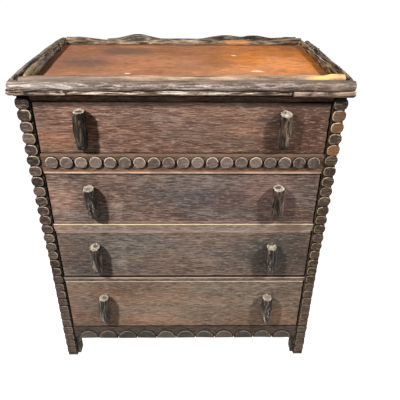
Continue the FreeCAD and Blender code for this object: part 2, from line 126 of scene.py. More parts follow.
class Shader(Nodes):
    """A procedural material under construction. grain is the axis along which its noise is stretched,
    and seed moves all of its noise on."""

    def __init__(self, name, roughness, specular=0.12, grain=0, seed=0.0):
        self.material = bpy.data.materials.new(name)
        super().__init__(self.material)
        self.principled = self.tree.nodes["Principled BSDF"]
        self.principled.inputs["Roughness"].default_value = roughness
        self.principled.inputs["Specular IOR Level"].default_value = specular
        self.points = self.node("TexCoord").outputs["Object"]
        self.grain = grain
        self.seed = seed

    def moved(self, points, scale, offset):
        return self.node("Mapping", {"Vector": points, "Scale": scale, "Location": offset}).outputs[0]

    def noise(self, scale, step=0.0, detail=3.0, roughness=0.55, distortion=0.0, points=None):
        """Noise with a scale for each axis. step sets it apart from the material's other noise."""
        seed = self.seed + step
        moved = self.moved(points or self.points, scale, (seed * 3.7, seed * 1.3, seed * 5.1))
        inputs = {"Vector": moved, "Scale": 1.0, "Detail": detail, "Roughness": roughness,
                  "Distortion": distortion}
        return self.node("TexNoise", inputs).outputs["Fac"]

    def grained(self, along, across, step, **settings):
        """Noise with one scale along the grain and another across it."""
        return self.noise([along if index == self.grain else across for index in range(3)], step, **settings)

    def times(self, first, second):
        return self.maths("MULTIPLY", first, second)

    def plus(self, rest, value, weight):
        """rest plus value times weight."""
        return self.maths("MULTIPLY_ADD", value, weight, rest)

    def fade(self, value, start, end, low=0.0, high=1.0):
        """A smooth step from low at start to high at end."""
        inputs = {"Value": value, "From Min": start, "From Max": end, "To Min": low, "To Max": high}
        return self.node("MapRange", inputs, interpolation_type="SMOOTHSTEP").outputs[0]

    def ramp(self, value, *stops):
        """A colour ramp through (place, colour) stops."""
        made = self.node("ValToRGB", {"Fac": value})
        elements = made.color_ramp.elements
        for element, (where, colour) in zip(elements, (stops[0], stops[-1])):
            element.position, element.color = where, colour + (1.0,)
        for where, colour in stops[1:-1]:
            elements.new(where).color = colour + (1.0,)
        return made.outputs["Color"]

    def mix(self, factor, first, second, blend="MIX"):
        made = self.node("Mix", {"Factor": factor}, data_type="RGBA", blend_type=blend)
        self.put(first, made.inputs[6])
        self.put(second, made.inputs[7])
        return made.outputs[2]

    def between(self, first, second, value, start, end, most=1.0):
        """A colour that turns from first to second as value goes from start to end."""
        return self.mix(self.fade(value, start, end, 0.0, most), first, second)

    def attribute(self, name, output="Fac"):
        return self.node("Attribute", attribute_name=name).outputs[output]

    def axis(self, index, points=None):
        return self.node("SeparateXYZ", {"Vector": points or self.points}).outputs[index]

    def length(self, vector):
        return self.node("VectorMath", {0: vector}, operation="LENGTH").outputs["Value"]

    def radius(self, disc):
        """How far out on a cut end, from 0 at the heart to 1 at the rim."""
        flat = self.node("VectorMath", {0: disc, 1: (1.0, 1.0, 0.0)}, operation="MULTIPLY")
        return self.length(flat.outputs[0])

    def patch(self, centre, size, step):
        """1 in the middle of a soft ragged-edged ellipsoid about centre, 0 outside it."""
        scale = [1.0 / value for value in Vector(size)]
        offset = [-value * factor for value, factor in zip(Vector(centre), scale)]
        distance = self.length(self.moved(self.points, scale, offset))
        rough = self.noise(scaled(2.2, scale), step + 0.7, detail=4.0)
        return self.fade(self.maths("ADD", rough, self.maths("SUBTRACT", distance, 0.5)), 1.05, 0.35)

    def bump(self, height, distance, strength):
        made = self.node("Bump", {"Height": height, "Distance": distance, "Strength": strength})
        self.put(made.outputs["Normal"], self.principled.inputs["Normal"])

    def colour(self, socket):
        self.put(socket, self.principled.inputs["Base Color"])

    def gloss(self, socket):
        self.put(socket, self.principled.inputs["Roughness"])


def wood(name, base, dark, light, grain=0, seed=0.0, patches=(), lines=(), contrast=1.0, dashes=0.5,
         roughness=0.72, relief=0.4, drift=0.5, clouds=(6.0, 17.0)):
    """Old wood: clouds of tone, long streaks, short flecks, dark pores, raised light dashes, local tints
    and light and dark lines along edges; the darkest of these lines are painted shade in gaps and
    under overhangs.

    patches are (centre, size, colour, strength). lines are (axis, place, half width, colour, strength,
    how broken), each along a plane across that axis. drift is how much the hue wanders from warm to
    cool."""
    shader = Shader(name, roughness, grain=grain, seed=seed)
    cloud = shader.grained(*clouds, 0.0, detail=4.0, distortion=0.6)
    streaks = shader.grained(11.0, 190.0, 1.0, detail=5.0, roughness=0.6, distortion=0.15)
    flecks = shader.grained(68.0, 850.0, 2.0, roughness=0.6, distortion=0.12)
    pores = shader.grained(60.0, 1100.0, 3.0, detail=2.0)
    raised = shader.grained(120.0, 760.0, 4.0, detail=2.0, distortion=0.3)
    tone = shader.plus(shader.plus(shader.times(cloud, 0.8), streaks, 0.55), flecks, 2.3)
    tone = shader.plus(0.5 - 1.825 * contrast, tone, contrast)
    colour = shader.ramp(tone, (0.08, dark), (0.5, base), (0.92, light))
    for index, (centre, size, tint, strength) in enumerate(patches):
        mask = shader.times(shader.patch(centre, size, index),
                            shader.fade(tone, 0.25, 0.7, 0.5 * strength, strength))
        shade = shader.between(scaled(0.7, tint), scaled(1.25, tint), tone, 0.2, 0.8)
        colour = shader.mix(mask, colour, shade)
    hue = shader.grained(7.0, 20.0, 6.0, detail=4.0)
    warmth = shader.between((1.2, 0.96, 0.86), (0.86, 1.02, 1.1), hue, 0.38, 0.62)
    colour = shader.mix(drift, colour, warmth, blend="MULTIPLY")
    pore_mask = shader.fade(pores, 0.4, 0.31, 0.0, 0.7)
    colour = shader.mix(pore_mask, colour, scaled(0.4, dark))
    raised_mask = shader.fade(raised, 0.57, 0.68, 0.0, dashes)
    colour = shader.mix(raised_mask, colour, scaled(1.5, light))
    uneven = shader.grained(22.0, 60.0, 5.0, detail=4.0) if lines else None
    # Lines along edges; those in the darkest colour paint shade into gaps and under overhangs.
    for axis, where, half_width, tint, strength, broken in lines:
        away = shader.maths("ABSOLUTE", shader.maths("SUBTRACT", shader.axis(axis), where))
        line = shader.fade(away, half_width, 0.4 * half_width, 0.0, strength)
        kept = shader.fade(uneven, 0.44, 0.56, 1.0 - broken, 1.0)
        colour = shader.mix(shader.times(line, kept), colour, tint)
    shader.colour(colour)
    shader.gloss(shader.fade(streaks, 0.3, 0.7, roughness - 0.12, roughness + 0.12))
    height = shader.plus(shader.times(streaks, 0.5), flecks, 0.7)
    height = shader.plus(height, raised_mask, 0.3)
    shader.bump(shader.maths("SUBTRACT", height, shader.times(pore_mask, 0.4)), 1.3 * MM, relief)
    return shader.material


def bark(name, deep, middle, ridge, worn, grain=0, seed=0.0, roughness=0.55, patches=(), contrast=1.0,
         weights=(1.1, 1.0, 0.7), crown=0.0, under_shade=0.0, under_shade_from=(0.1, -0.6),
         cut_light=(0.36, 0.28, 0.21), cut_dark=(0.05, 0.034, 0.024)):
    """Bark coloured by the relief of its own surface, with bare wood and cut ends. weights are how much
    blotches, long cords and fine grain show. crown is how much darker it is where it faces up. The next
    two settings give painted shade where it faces down: how strong it is, and the upward parts of the
    normal where that painted shade starts and is full."""
    shader = Shader(name, roughness, 0.18, grain, seed)
    blotch = shader.grained(28.0, 75.0, 0.0, detail=5.0, roughness=0.6)
    cords = shader.grained(22.0, 420.0, 3.0, detail=4.0, roughness=0.6, distortion=0.6)
    fine = shader.grained(260.0, 620.0, 1.0, detail=4.0, roughness=0.7)
    tone = shader.times(shader.attribute("relief"), 0.55)
    for layer, weight in zip((blotch, cords, fine), weights):
        tone = shader.plus(tone, layer, weight)
    tone = shader.plus(0.5 - (0.36 + 0.5 * sum(weights)) * contrast, tone, contrast)
    colour = shader.ramp(tone, (0.1, deep), (0.5, middle), (0.95, ridge))
    for index, (centre, size, tint, strength) in enumerate(patches):
        mask = shader.times(shader.patch(centre, size, index), strength)
        colour = shader.mix(mask, colour, shader.between(scaled(0.6, tint), tint, tone, 0.2, 0.8))
    up = shader.axis(2, shader.node("NewGeometry").outputs["Normal"])
    # Darker where the bark faces up, and painted shade where it faces down.
    for strength, start, end in ((crown, 0.35, 0.8), (under_shade, *under_shade_from)):
        if strength:
            colour = shader.between(colour, scaled(0.35, middle), up, start, end, strength)
    bare = shader.plus(shader.attribute("bare"), shader.maths("SUBTRACT", fine, 0.5), 1.9)
    colour = shader.between(colour, shader.mix(fine, scaled(0.75, worn), worn), bare, 0.35, 0.75)
    disc = shader.attribute("disc", "Vector")
    weathered = shader.noise((2.3, 2.3, 2.0), 5.0, detail=4.0, roughness=0.7, points=disc)
    tone = shader.times(end_grain_tone(shader, disc), shader.fade(weathered, 0.38, 0.62, 0.15, 1.0))
    cut = shader.mix(tone, cut_dark, cut_light)
    # Painted shade: the hollow of a cut top is darkened.
    cut = shader.mix(shader.attribute("hollow"), cut, scaled(0.22, cut_dark))
    shader.colour(shader.between(colour, cut, shader.attribute("cut"), 0.35, 0.65))
    shader.gloss(shader.fade(fine, 0.3, 0.7, roughness - 0.14, roughness + 0.14))
    shader.bump(shader.maths("ADD", fine, shader.times(cords, 1.2)), 0.8 * MM, 0.6)
    return shader.material


def end_grain_tone(shader, disc):
    """Rings, rays and weathering on a cut end, from 0, dark, to 1, light."""
    wander = shader.noise((1.6, 1.6, 1.0), 2.0, detail=2.0, points=disc)
    rings = shader.maths("SINE", shader.plus(shader.times(shader.radius(disc), 30.0), wander, 9.0))
    spots = shader.noise((5.0, 5.0, 3.0), 4.0, detail=4.0, roughness=0.7, points=disc)
    return shader.fade(shader.plus(spots, rings, 0.1), 0.36, 0.56)


def slice_wood(name, faces, rim, bark_tone, seed, painted_highlight_side, rim_share=0.5):
    """Slices of branch: weathered end grain inside a worn, lighter rim and a band of bark.

    faces are the darker, usual and lighter tones and a rare one, and each slice takes its own mix. The rim
    shows on rim_share of the edge, and more of it towards the given highlight side: a worn rim with a
    painted highlight on that side."""
    shader = Shader(name, 0.6, 0.15, seed=seed)
    disc = shader.attribute("disc", "Vector")
    tone = end_grain_tone(shader, disc)
    own_tone = shader.ramp(shader.attribute("own"), *zip((0.05, 0.38, 0.72, 0.98), faces))
    face = shader.mix(tone, shader.mix(0.7, own_tone, faces[0]), own_tone)
    bleached = shader.noise((1.7, 1.7, 2.0), 11.0, detail=5.0, roughness=0.65, points=disc)
    face = shader.between(face, faces[2], bleached, 0.46, 0.66, 0.5)
    smears = shader.noise((0.8, 3.2, 1.0), 8.0, detail=4.0, points=disc)
    face = shader.between(face, shader.mix(0.45, own_tone, rim), smears, 0.5, 0.68, 0.45)
    radius = shader.radius(disc)
    # Painted highlight: the rim shows most on the side it is turned towards.
    toward = shader.plus(-0.6, shader.noise((1.0, 1.0, 4.0), 6.0, points=disc), 2.2)
    for index in (1, 0):
        toward = shader.plus(toward, shader.axis(index, disc), painted_highlight_side[index])
    uneven = shader.noise((2.4, 2.4, 3.0), 9.0, detail=4.0, points=disc)
    inner = shader.plus(radius, shader.maths("SUBTRACT", uneven, 0.5), 0.5)
    ring = shader.times(shader.fade(inner, 0.77, 0.95), shader.fade(radius, 1.0, 0.95))
    edge = 0.75 - 0.5 * rim_share
    ring = shader.times(ring, shader.fade(toward, edge - 0.12, edge + 0.16, 0.0, 0.85))
    ring = shader.times(ring, shader.attribute("rim"))
    face = shader.mix(ring, face, shader.mix(tone, scaled(0.6, rim), rim))
    fine = shader.noise((600.0,) * 3)
    side = shader.mix(fine, scaled(0.5, bark_tone), bark_tone)
    shader.colour(shader.between(face, side, radius, 0.965, 0.99))
    shader.bump(shader.plus(fine, tone, 0.6), 0.5 * MM, 0.5)
    return shader.material


def metal(name, bright, rust, seed):
    shader = Shader(name, 0.45, 0.5, seed=seed)
    shader.principled.inputs["Metallic"].default_value = 0.5
    spots = shader.noise((900.0,) * 3, detail=4.0, roughness=0.7)
    shader.colour(shader.between(bright, rust, spots, 0.42, 0.58))
    shader.gloss(shader.fade(spots, 0.35, 0.6, 0.35, 0.75))
    shader.bump(spots, 0.2 * MM, 0.4)
    return shader.material


# ---- Mesh tools --------------------------------------------------------------------------------
def dress(obj, material):
    obj.data.materials.clear()
    obj.data.materials.append(material)


def ease(node, width, material):
    """A CAD board with its arrises taken off."""
    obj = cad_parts[node]
    weld = obj.modifiers.new("weld", "WELD")
    weld.merge_threshold = 0.01 * MM
    bevel = obj.modifiers.new("ease", "BEVEL")
    bevel.width = width
    bevel.segments = 2
    bevel.limit_method = "ANGLE"
    bevel.harden_normals = True
    dress(obj, material)


def solids(node):
    """The separate solids of a CAD node, each as (search tree, low corner, high corner), by place."""
    mesh = bmesh.new()
    mesh.from_mesh(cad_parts[node].data)
    bmesh.ops.remove_doubles(mesh, verts=mesh.verts, dist=0.001 * MM)
    found = []
    seen = set()
    for start in mesh.verts:
        if start in seen:
            continue
        seen.add(start)
        members = [start]
        for vertex in members:
            for edge in vertex.link_edges:
                other = edge.other_vert(vertex)
                if other not in seen:
                    seen.add(other)
                    members.append(other)
        numbers = {vertex: index for index, vertex in enumerate(members)}
        faces = {face for vertex in members for face in vertex.link_faces}
        points = [vertex.co.copy() for vertex in members]
        polygons = [[numbers[vertex] for vertex in face.verts] for face in faces]
        low, high = (Vector([pick(values) for values in zip(*points)]) for pick in (min, max))
        found.append((BVHTree.FromPolygons(points, polygons), low, high))
    mesh.free()
    found.sort(key=lambda solid: (round(solid[1].x, 3), solid[1].z, solid[1].y))
    return found


def inside(point):
    """The nearest point that the chest's own box holds."""
    return Vector([min(max(point[i], cad_low[i]), cad_high[i]) for i in range(3)])


def make_piece(name, points, faces, values, material, body, node, slot):
    """A smooth mesh piece in place of a CAD node, with its point values as attributes."""
    mesh = bpy.data.meshes.new(name)
    mesh.from_pydata([inside(point) for point in points], [], faces)
    for key, rows in values.items():
        if key == "disc":
            made = mesh.attributes.new(key, "FLOAT_VECTOR", "POINT")
            made.data.foreach_set("vector", [number for row in rows for number in row])
        else:
            made = mesh.attributes.new(key, "FLOAT", "POINT")
            made.data.foreach_set("value", rows)
    mesh.validate()
    mesh.shade_smooth()
    mesh.set_sharp_from_angle(angle=math.radians(50.0))
    obj = place(name, mesh)
    dress(obj, material)
    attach(obj, body)
    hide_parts(node)


def turned(first, second, angle):
    """The direction at an angle from first towards second."""
    return first * math.cos(angle) + second * math.sin(angle)


class Lattice:
    """Rings of points, made one after another and closed by cut ends into one tube-like mesh."""

    def __init__(self, around):
        self.angles = [2.0 * math.pi * index / around for index in range(around)]
        self.points = []
        self.faces = []
        self.values = {"relief": [], "bare": [], "cut": [], "hollow": [], "disc": []}

    def add(self, point, relief, bare, cut, disc, hollow=0.0):
        self.points.append(point)
        for key, value in zip(self.values, (relief, bare, cut, hollow, disc)):
            self.values[key].append(value)

    def face(self, numbers, flip):
        self.faces.append(numbers[::-1] if flip else numbers)

    def band(self, first, second, flip=False):
        """Faces between two rings, given by the numbers of their first points."""
        around = len(self.angles)
        for index in range(around):
            following = (index + 1) % around
            self.face((first + index, first + following, second + following, second + index), flip)

    def close(self, seed, sink=None, shares=(0.97, 0.72, 0.4)):
        """Joins the rings and cuts both ends. sink and shares are the far end's."""
        around = len(self.angles)
        rings = range(0, len(self.points), around)
        for ring in rings[1:]:
            self.band(ring - around, ring)
        self.end(rings[0], seed, True)
        self.end(rings[-1], seed + 1.0, False, sink, shares)

    def end(self, ring, seed, flip, sink=None, shares=(0.97, 0.72, 0.4)):
        """A cut end: rings that shrink towards the heart, at shares of the way out. sink(across, up) is
        how hollow it is there, 0 to 1, and a full hollow is 1.6 mm deep."""
        around = len(self.angles)
        rim = self.points[ring:ring + around]
        middle = sum(rim, Vector()) / around

        def put(share, angle, edge):
            across, up = share * math.cos(angle), share * math.sin(angle)
            hollow = sink(across, up) if sink else 0.0
            point = middle + (edge - middle) * share - Z * (1.6 * MM * hollow)
            self.add(point, 0.5, 0.0, 1.0, (across, up, seed), hollow)

        for share in shares:
            start = len(self.points)
            for angle, edge in zip(self.angles, rim):
                put(share, angle, edge)
            self.band(ring, start, flip)
            ring = start
        heart = len(self.points)
        put(0.0, 0.0, rim[0])
        for index in range(around):
            self.face((ring + index, ring + (index + 1) % around, heart), flip)


def ridged(point, seed):
    """Bark-like ridges, 0 in a furrow and 1 on a ridge."""
    offset = Vector((seed * 7.3, seed * 3.1, seed * 5.7))
    value = 1.0 - abs(2.2 * noise.noise(point + offset))
    return clamp(0.72 * value + 0.28 * (0.5 + 0.5 * noise.noise(2.7 * point + offset)))


# ---- Twigs -------------------------------------------------------------------------------------
def section_centre(tree, guess, first, second, reach):
    """The middle of the section of a twig through guess."""
    centre = guess.copy()
    for direction in (first, second):
        far = tree.ray_cast(centre + direction * reach, -direction, reach)
        near = tree.ray_cast(centre - direction * reach, direction, reach)
        if far[0] is not None and near[0] is not None:
            centre += direction * ((far[0] + near[0]) / 2.0 - centre).dot(direction)
    return centre


def section_reaches(tree, centre, first, second, angles, reach, missing=None):
    """How far a section's surface is from its centre at each angle, seen from outside. missing is what
    an angle with no surface gets. Without it such an angle, or one far too short, gets the usual reach."""
    found = []
    for angle in angles:
        direction = turned(first, second, angle)
        hit = tree.ray_cast(centre + direction * reach, -direction, reach)
        found.append(missing if hit[0] is None else max(0.0, reach - hit[3]))
    if missing is not None:
        return found
    known = [value for value in found if value is not None]
    usual = sorted(known)[len(known) // 2]
    return [usual if value is None or value < 0.72 * usual else value for value in found]


def trace_start(tree, low, high, axis, margin):
    """A point inside the near end of a twig: the middle of what lies at its lowest place."""
    centre = (low + high) / 2.0
    centre[axis] = low[axis] + margin
    inward = tree.find_nearest(centre)[0] - centre
    inward[axis] = 0.0
    if inward.length > 0.2 * MM:
        centre += inward * (1.0 + 1.0 * MM / inward.length)
    return centre


def at(setting, share):
    """A twig's setting there: it is one tuple all along, or a function of the share of the length."""
    return setting(share) if callable(setting) else setting


def twig(name, node, axis, material, seed, depth, solid=None, around=44, ridge_length=30.0,
         ridge_width=3.0, swell=0.5, ends=(0.5, 0.5), fuller=0.0, grow=(0.0, 0.0, 0.0),
         lean=(0.0, 0.0, 0.0)):
    """A branch with bark, laid along a traced CAD solid and a little inside it. Lengths are in
    millimetres.

    depth is how deep its furrows are at each end, and swell how far broad hollows go in. ends are how
    far each cut end slants or crumbles. fuller is how much thicker than its solid it is, on the side
    towards the floor and the front. grow is how much thicker it is all round, at the top and below, and
    lean how far it stands from its solid along each axis."""
    tree, low, high = solid or solids(node)[0]
    direction = (X, Y)[axis]
    second = direction.cross(Z)
    reach = 3.0 * max((high - low)[index] for index in range(3) if index != axis)
    length = high[axis] - low[axis]
    spacing = 1.3 * MM
    count = max(8, int(length / spacing))
    margin = 0.25 * MM
    mesh = Lattice(around)
    centre = trace_start(tree, low, high, axis, margin)
    for step in range(count + 1):
        share = step / count
        centre[axis] = low[axis] + margin + (length - 2.0 * margin) * share
        centre = section_centre(tree, centre, Z, second, reach)
        reaches = section_reaches(tree, centre, Z, second, mesh.angles, reach)
        end_share = min(share, 1.0 - share) * length
        rounding = 1.0 - 0.28 * max(0.0, 1.0 - end_share / (1.4 * MM)) ** 2
        fall = max(0.0, 1.0 - end_share / (6.0 * MM))
        slant = ends[0] if share < 0.5 else -ends[1]
        furrow = (depth[0] + (depth[1] - depth[0]) * share) * MM
        around_more, up_more, down_more = at(grow, share)
        along = length * share / MM
        for angle, distance in zip(mesh.angles, reaches):
            outward = turned(Z, second, angle)
            across, up = math.cos(angle), math.sin(angle)
            where = Vector((across, up, 0.0)) * (distance / MM / ridge_width)
            where.z = along / ridge_length
            height = ridged(where, seed)
            broad = 0.5 + 0.5 * noise.noise(Vector((0.6 * across, 0.6 * up, along / 26.0))
                                            + Vector((seed, 0.0, 9.1)))
            inset = furrow * (1.0 - height) + swell * MM * broad
            below = max(0.0, -outward.z) + max(0.0, -outward.y)
            inset -= fuller * MM * math.sin(math.pi * share) * below
            inset -= (around_more + up_more * max(0.0, outward.z) + down_more * max(0.0, -outward.z)) * MM
            shift = slant * MM * fall * (1.0 + 0.6 * noise.noise(5.0 * outward + Vector((seed, 1.0, 2.0))))
            point = centre + outward * max(0.3 * MM, (distance - inset) * rounding) + direction * shift
            mesh.add(point + Vector(at(lean, share)) * MM, height, 0.0, 0.0, (across, up, seed))
    mesh.close(seed)
    make_piece(name, mesh.points, mesh.faces, mesh.values, material, "case", node, "bark_twig")


# ---- Slices ------------------------------------------------------------------------------------
SLICE_RINGS = (0.22, 0.45, 0.66, 0.8, 0.9, 0.96, 0.99)
SLICE_AROUND = 40
LIGHTEST_DRAWN = 0.78          # a slice's tone is drawn between 0 and this
SETTLED_TONE = 0.64


def add_slice(store, low, high, rng, own, rim, square, ragged=0.05, cut_below=None):
    """One slice of branch in a CAD disc's box: uneven outline, sunken heart, rounded rim. own is its
    tone, where it isn't drawn, rim how much of a light rim it has, and square how far it is from round
    to square, 0 to 1. ragged is how uneven it is, and cut_below the level that it is cut off at."""
    centre = (low + high) / 2.0
    half = (high - low) / 2.0
    drawn = LIGHTEST_DRAWN * rng.random()
    own = drawn if own is None else own
    rim *= rng.uniform(0.5, 1.3)
    lean = Vector((rng.uniform(-0.4, 0.4), 0.0, rng.uniform(-0.4, 0.4))) * MM
    start = rng.uniform(0.0, 40.0)
    disc_z = rng.uniform(0.0, 60.0)
    points, faces, values = store
    base = len(points)
    plain = max(0.0, 2.0 * square - 1.0)
    power = 4.0 + 5.0 * plain
    ragged *= 1.0 - 0.8 * plain

    def outline(across, up):
        if cut_below is not None and up < 0.0:
            return 1.06 * (abs(across) ** 8 + abs(up) ** 8) ** -0.125
        corner = (abs(across) ** power + abs(up) ** power) ** (-1.0 / power)
        wander = noise.noise(Vector((1.1 * across, 1.1 * up, start)))
        fine = noise.noise(Vector((4.0 * across, 4.0 * up, start + 3.0)))
        return (1.0 + square * (corner - 1.0)) * (1.0 - ragged * (0.75 + wander) - 0.018 * (1.0 + fine))

    def put(share, angle, drop):
        across, up = math.cos(angle), math.sin(angle)
        reach = outline(across, up) * share
        z = centre.z + half.z * reach * up
        if cut_below is not None:
            z = max(z, cut_below)
        tilt = lean.x * reach * across + lean.z * reach * up
        y = min(low.y + drop + abs(lean.x) + abs(lean.z) + tilt, high.y)
        points.append(Vector((centre.x + half.x * reach * across, y, z)))
        values["disc"].append((share * across, share * up, disc_z))
        values["own"].append(own)
        values["rim"].append(rim)

    put(0.0, 0.0, 0.35 * MM)
    rounding = (0.9 - 0.5 * plain) * MM
    rings = [(share, 0.35 * MM * (1.0 - share)) if share < 0.9 else
             (share, rounding * ((share - 0.9) / 0.1) ** 2) for share in SLICE_RINGS]
    rings += [(1.0, drop) for drop in (1.6 * MM, 3.4 * MM, high.y - low.y)]
    for share, drop in rings:
        for index in range(SLICE_AROUND):
            put(share, 2.0 * math.pi * index / SLICE_AROUND, drop)
    for index in range(SLICE_AROUND):
        following = (index + 1) % SLICE_AROUND
        faces.append((base, base + 1 + index, base + 1 + following))
        for ring in range(len(rings) - 1):
            a = base + 1 + ring * SLICE_AROUND
            b = a + SLICE_AROUND
            faces.append((a + index, b + index, b + following, a + following))
    faces.append(tuple(reversed(range(len(points) - SLICE_AROUND, len(points)))))


def slice_group(name, boxes, material, node, seed, special=(), fading=(1.0, 1.0), square=0.0,
                settling=None, **shape):
    """A row or column of slices as one piece. special gives the (tone, rim) of the first few, and
    fading the rims' strength at the first and the last. settling(share) is how far a column's slices
    have settled into a plain strip of squared ones, 0 to 1."""
    rng = random.Random(seed)
    store = ([], [], {"disc": [], "own": [], "rim": []})
    for index, (low, high) in enumerate(boxes):
        share = index / (len(boxes) - 1)
        own, rim = special[index] if index < len(special) else (None, 1.0)
        rim *= fading[0] + (fading[1] - fading[0]) * share
        settled = settling(share) if settling else 0.0
        if settled:
            own = SETTLED_TONE * settled + (1.0 - settled) * LIGHTEST_DRAWN * rng.random()
        add_slice(store, low, high, rng, own, rim, square + (1.0 - square) * settled, **shape)
    make_piece(name, *store, material, "case", node, "slice_end_grain")


# ---- Drawer fronts -------------------------------------------------------------------------------
def offsets(length, fine, step):
    """Places along a board: close together at both ends for the worn arrises, even between them."""
    inner = length - 2.0 * fine[-1]
    count = int(inner / step)
    middle = [fine[-1] + inner * index / count for index in range(1, count)]
    return list(fine) + middle + [length - value for value in reversed(fine)]


def front_board(drawer, material, seed):
    """A drawer front of worn oak: a rippled face with worn arrises, rabbeted behind for the sides."""
    node = f"drawer_{drawer}_front"
    low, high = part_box(node)
    side_low, side_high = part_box(f"drawer_{drawer}_side_right")
    inner, shoulder = side_low.x, side_low.y
    arris = (0.0, 0.25 * MM, 0.6 * MM, 1.1 * MM, 1.8 * MM)
    across = offsets(high.x - low.x, arris, 2.6 * MM)
    upward = sorted(offsets(high.z - low.z, arris, 0.95 * MM) + [side_low.z - low.z, side_high.z - low.z])
    points, faces = [], []

    def face_depth(x, z):
        """How far the face lies behind the CAD face."""
        broad = 0.5 + 0.5 * noise.noise(Vector((x * 14.0, z * 55.0, seed)))
        slant = z + 0.0012 * noise.noise(Vector((x * 45.0, z * 60.0, seed + 4.0)))
        ripple = noise.noise(Vector((x * 95.0, slant * 430.0, seed + 8.0)))
        wear = 0.7 + 0.6 * noise.noise(Vector((x * 70.0, z * 70.0, seed + 12.0)))
        depth = 0.12 * MM + 0.22 * MM * broad + 0.16 * MM * ripple
        radius = 1.1 * MM * wear
        for away in (min(x - low.x, high.x - x), min(z - low.z, high.z - z)):
            if away < radius:
                share = 1.0 - max(0.0, away) / radius
                depth += radius * (1.0 - math.sqrt(1.0 - share * share))
        return min(depth, 2.0 * MM)

    def ring(z, notched):
        """The numbers of one level's points: along the face, then round the back."""
        start = len(points)
        for x in [low.x + offset for offset in across]:
            points.append(Vector((x, low.y + face_depth(x, z), z)))
        right = (inner, shoulder) if notched else (high.x, high.y)
        for x, y in ((high.x, shoulder), right, (inner, high.y), (-inner, high.y), (-right[0], right[1]),
                     (low.x, shoulder)):
            points.append(Vector((x, y, z)))
        return list(range(start, len(points)))

    previous = None
    for offset in upward:
        z = low.z + offset
        below = side_low.z < z - 1e-7 <= side_high.z
        above = side_low.z <= z + 1e-7 < side_high.z
        current = ring(z, below)
        if previous is None:
            faces.append(tuple(reversed(current)))
        else:
            for index in range(len(current)):
                following = (index + 1) % len(current)
                faces.append((previous[index], previous[following], current[following], current[index]))
        if offset != upward[-1] and above != below:
            upper = list(current)
            x, y = (inner, shoulder) if above else (high.x, high.y)
            for corner in (-5, -2):
                upper[corner] = len(points)
                points.append(Vector((math.copysign(x, points[current[corner]].x), y, z)))
                around = (current[corner - 1], current[corner], current[corner + 1], upper[corner])
                faces.append(around if above else around[::-1])
            current = upper
        previous = current
    faces.append(tuple(previous))
    make_piece(f"front_{drawer}", points, faces, {}, material, f"drawer_{drawer}", node, "oak_front")


# ---- Pulls -------------------------------------------------------------------------------------
def hollow_shape(centre, size, slant, full=1.0):
    """A soft-edged slanted ellipse in a pull's cut top. full is how deep it is and how dark its painted
    shade is.
    """
    def sink(across, up):
        a = (across - centre[0]) * math.cos(slant) + (up - centre[1]) * math.sin(slant)
        b = (up - centre[1]) * math.cos(slant) - (across - centre[0]) * math.sin(slant)
        return full * clamp(2.6 - 2.6 * math.hypot(a / size[0], b / size[1]))
    return sink


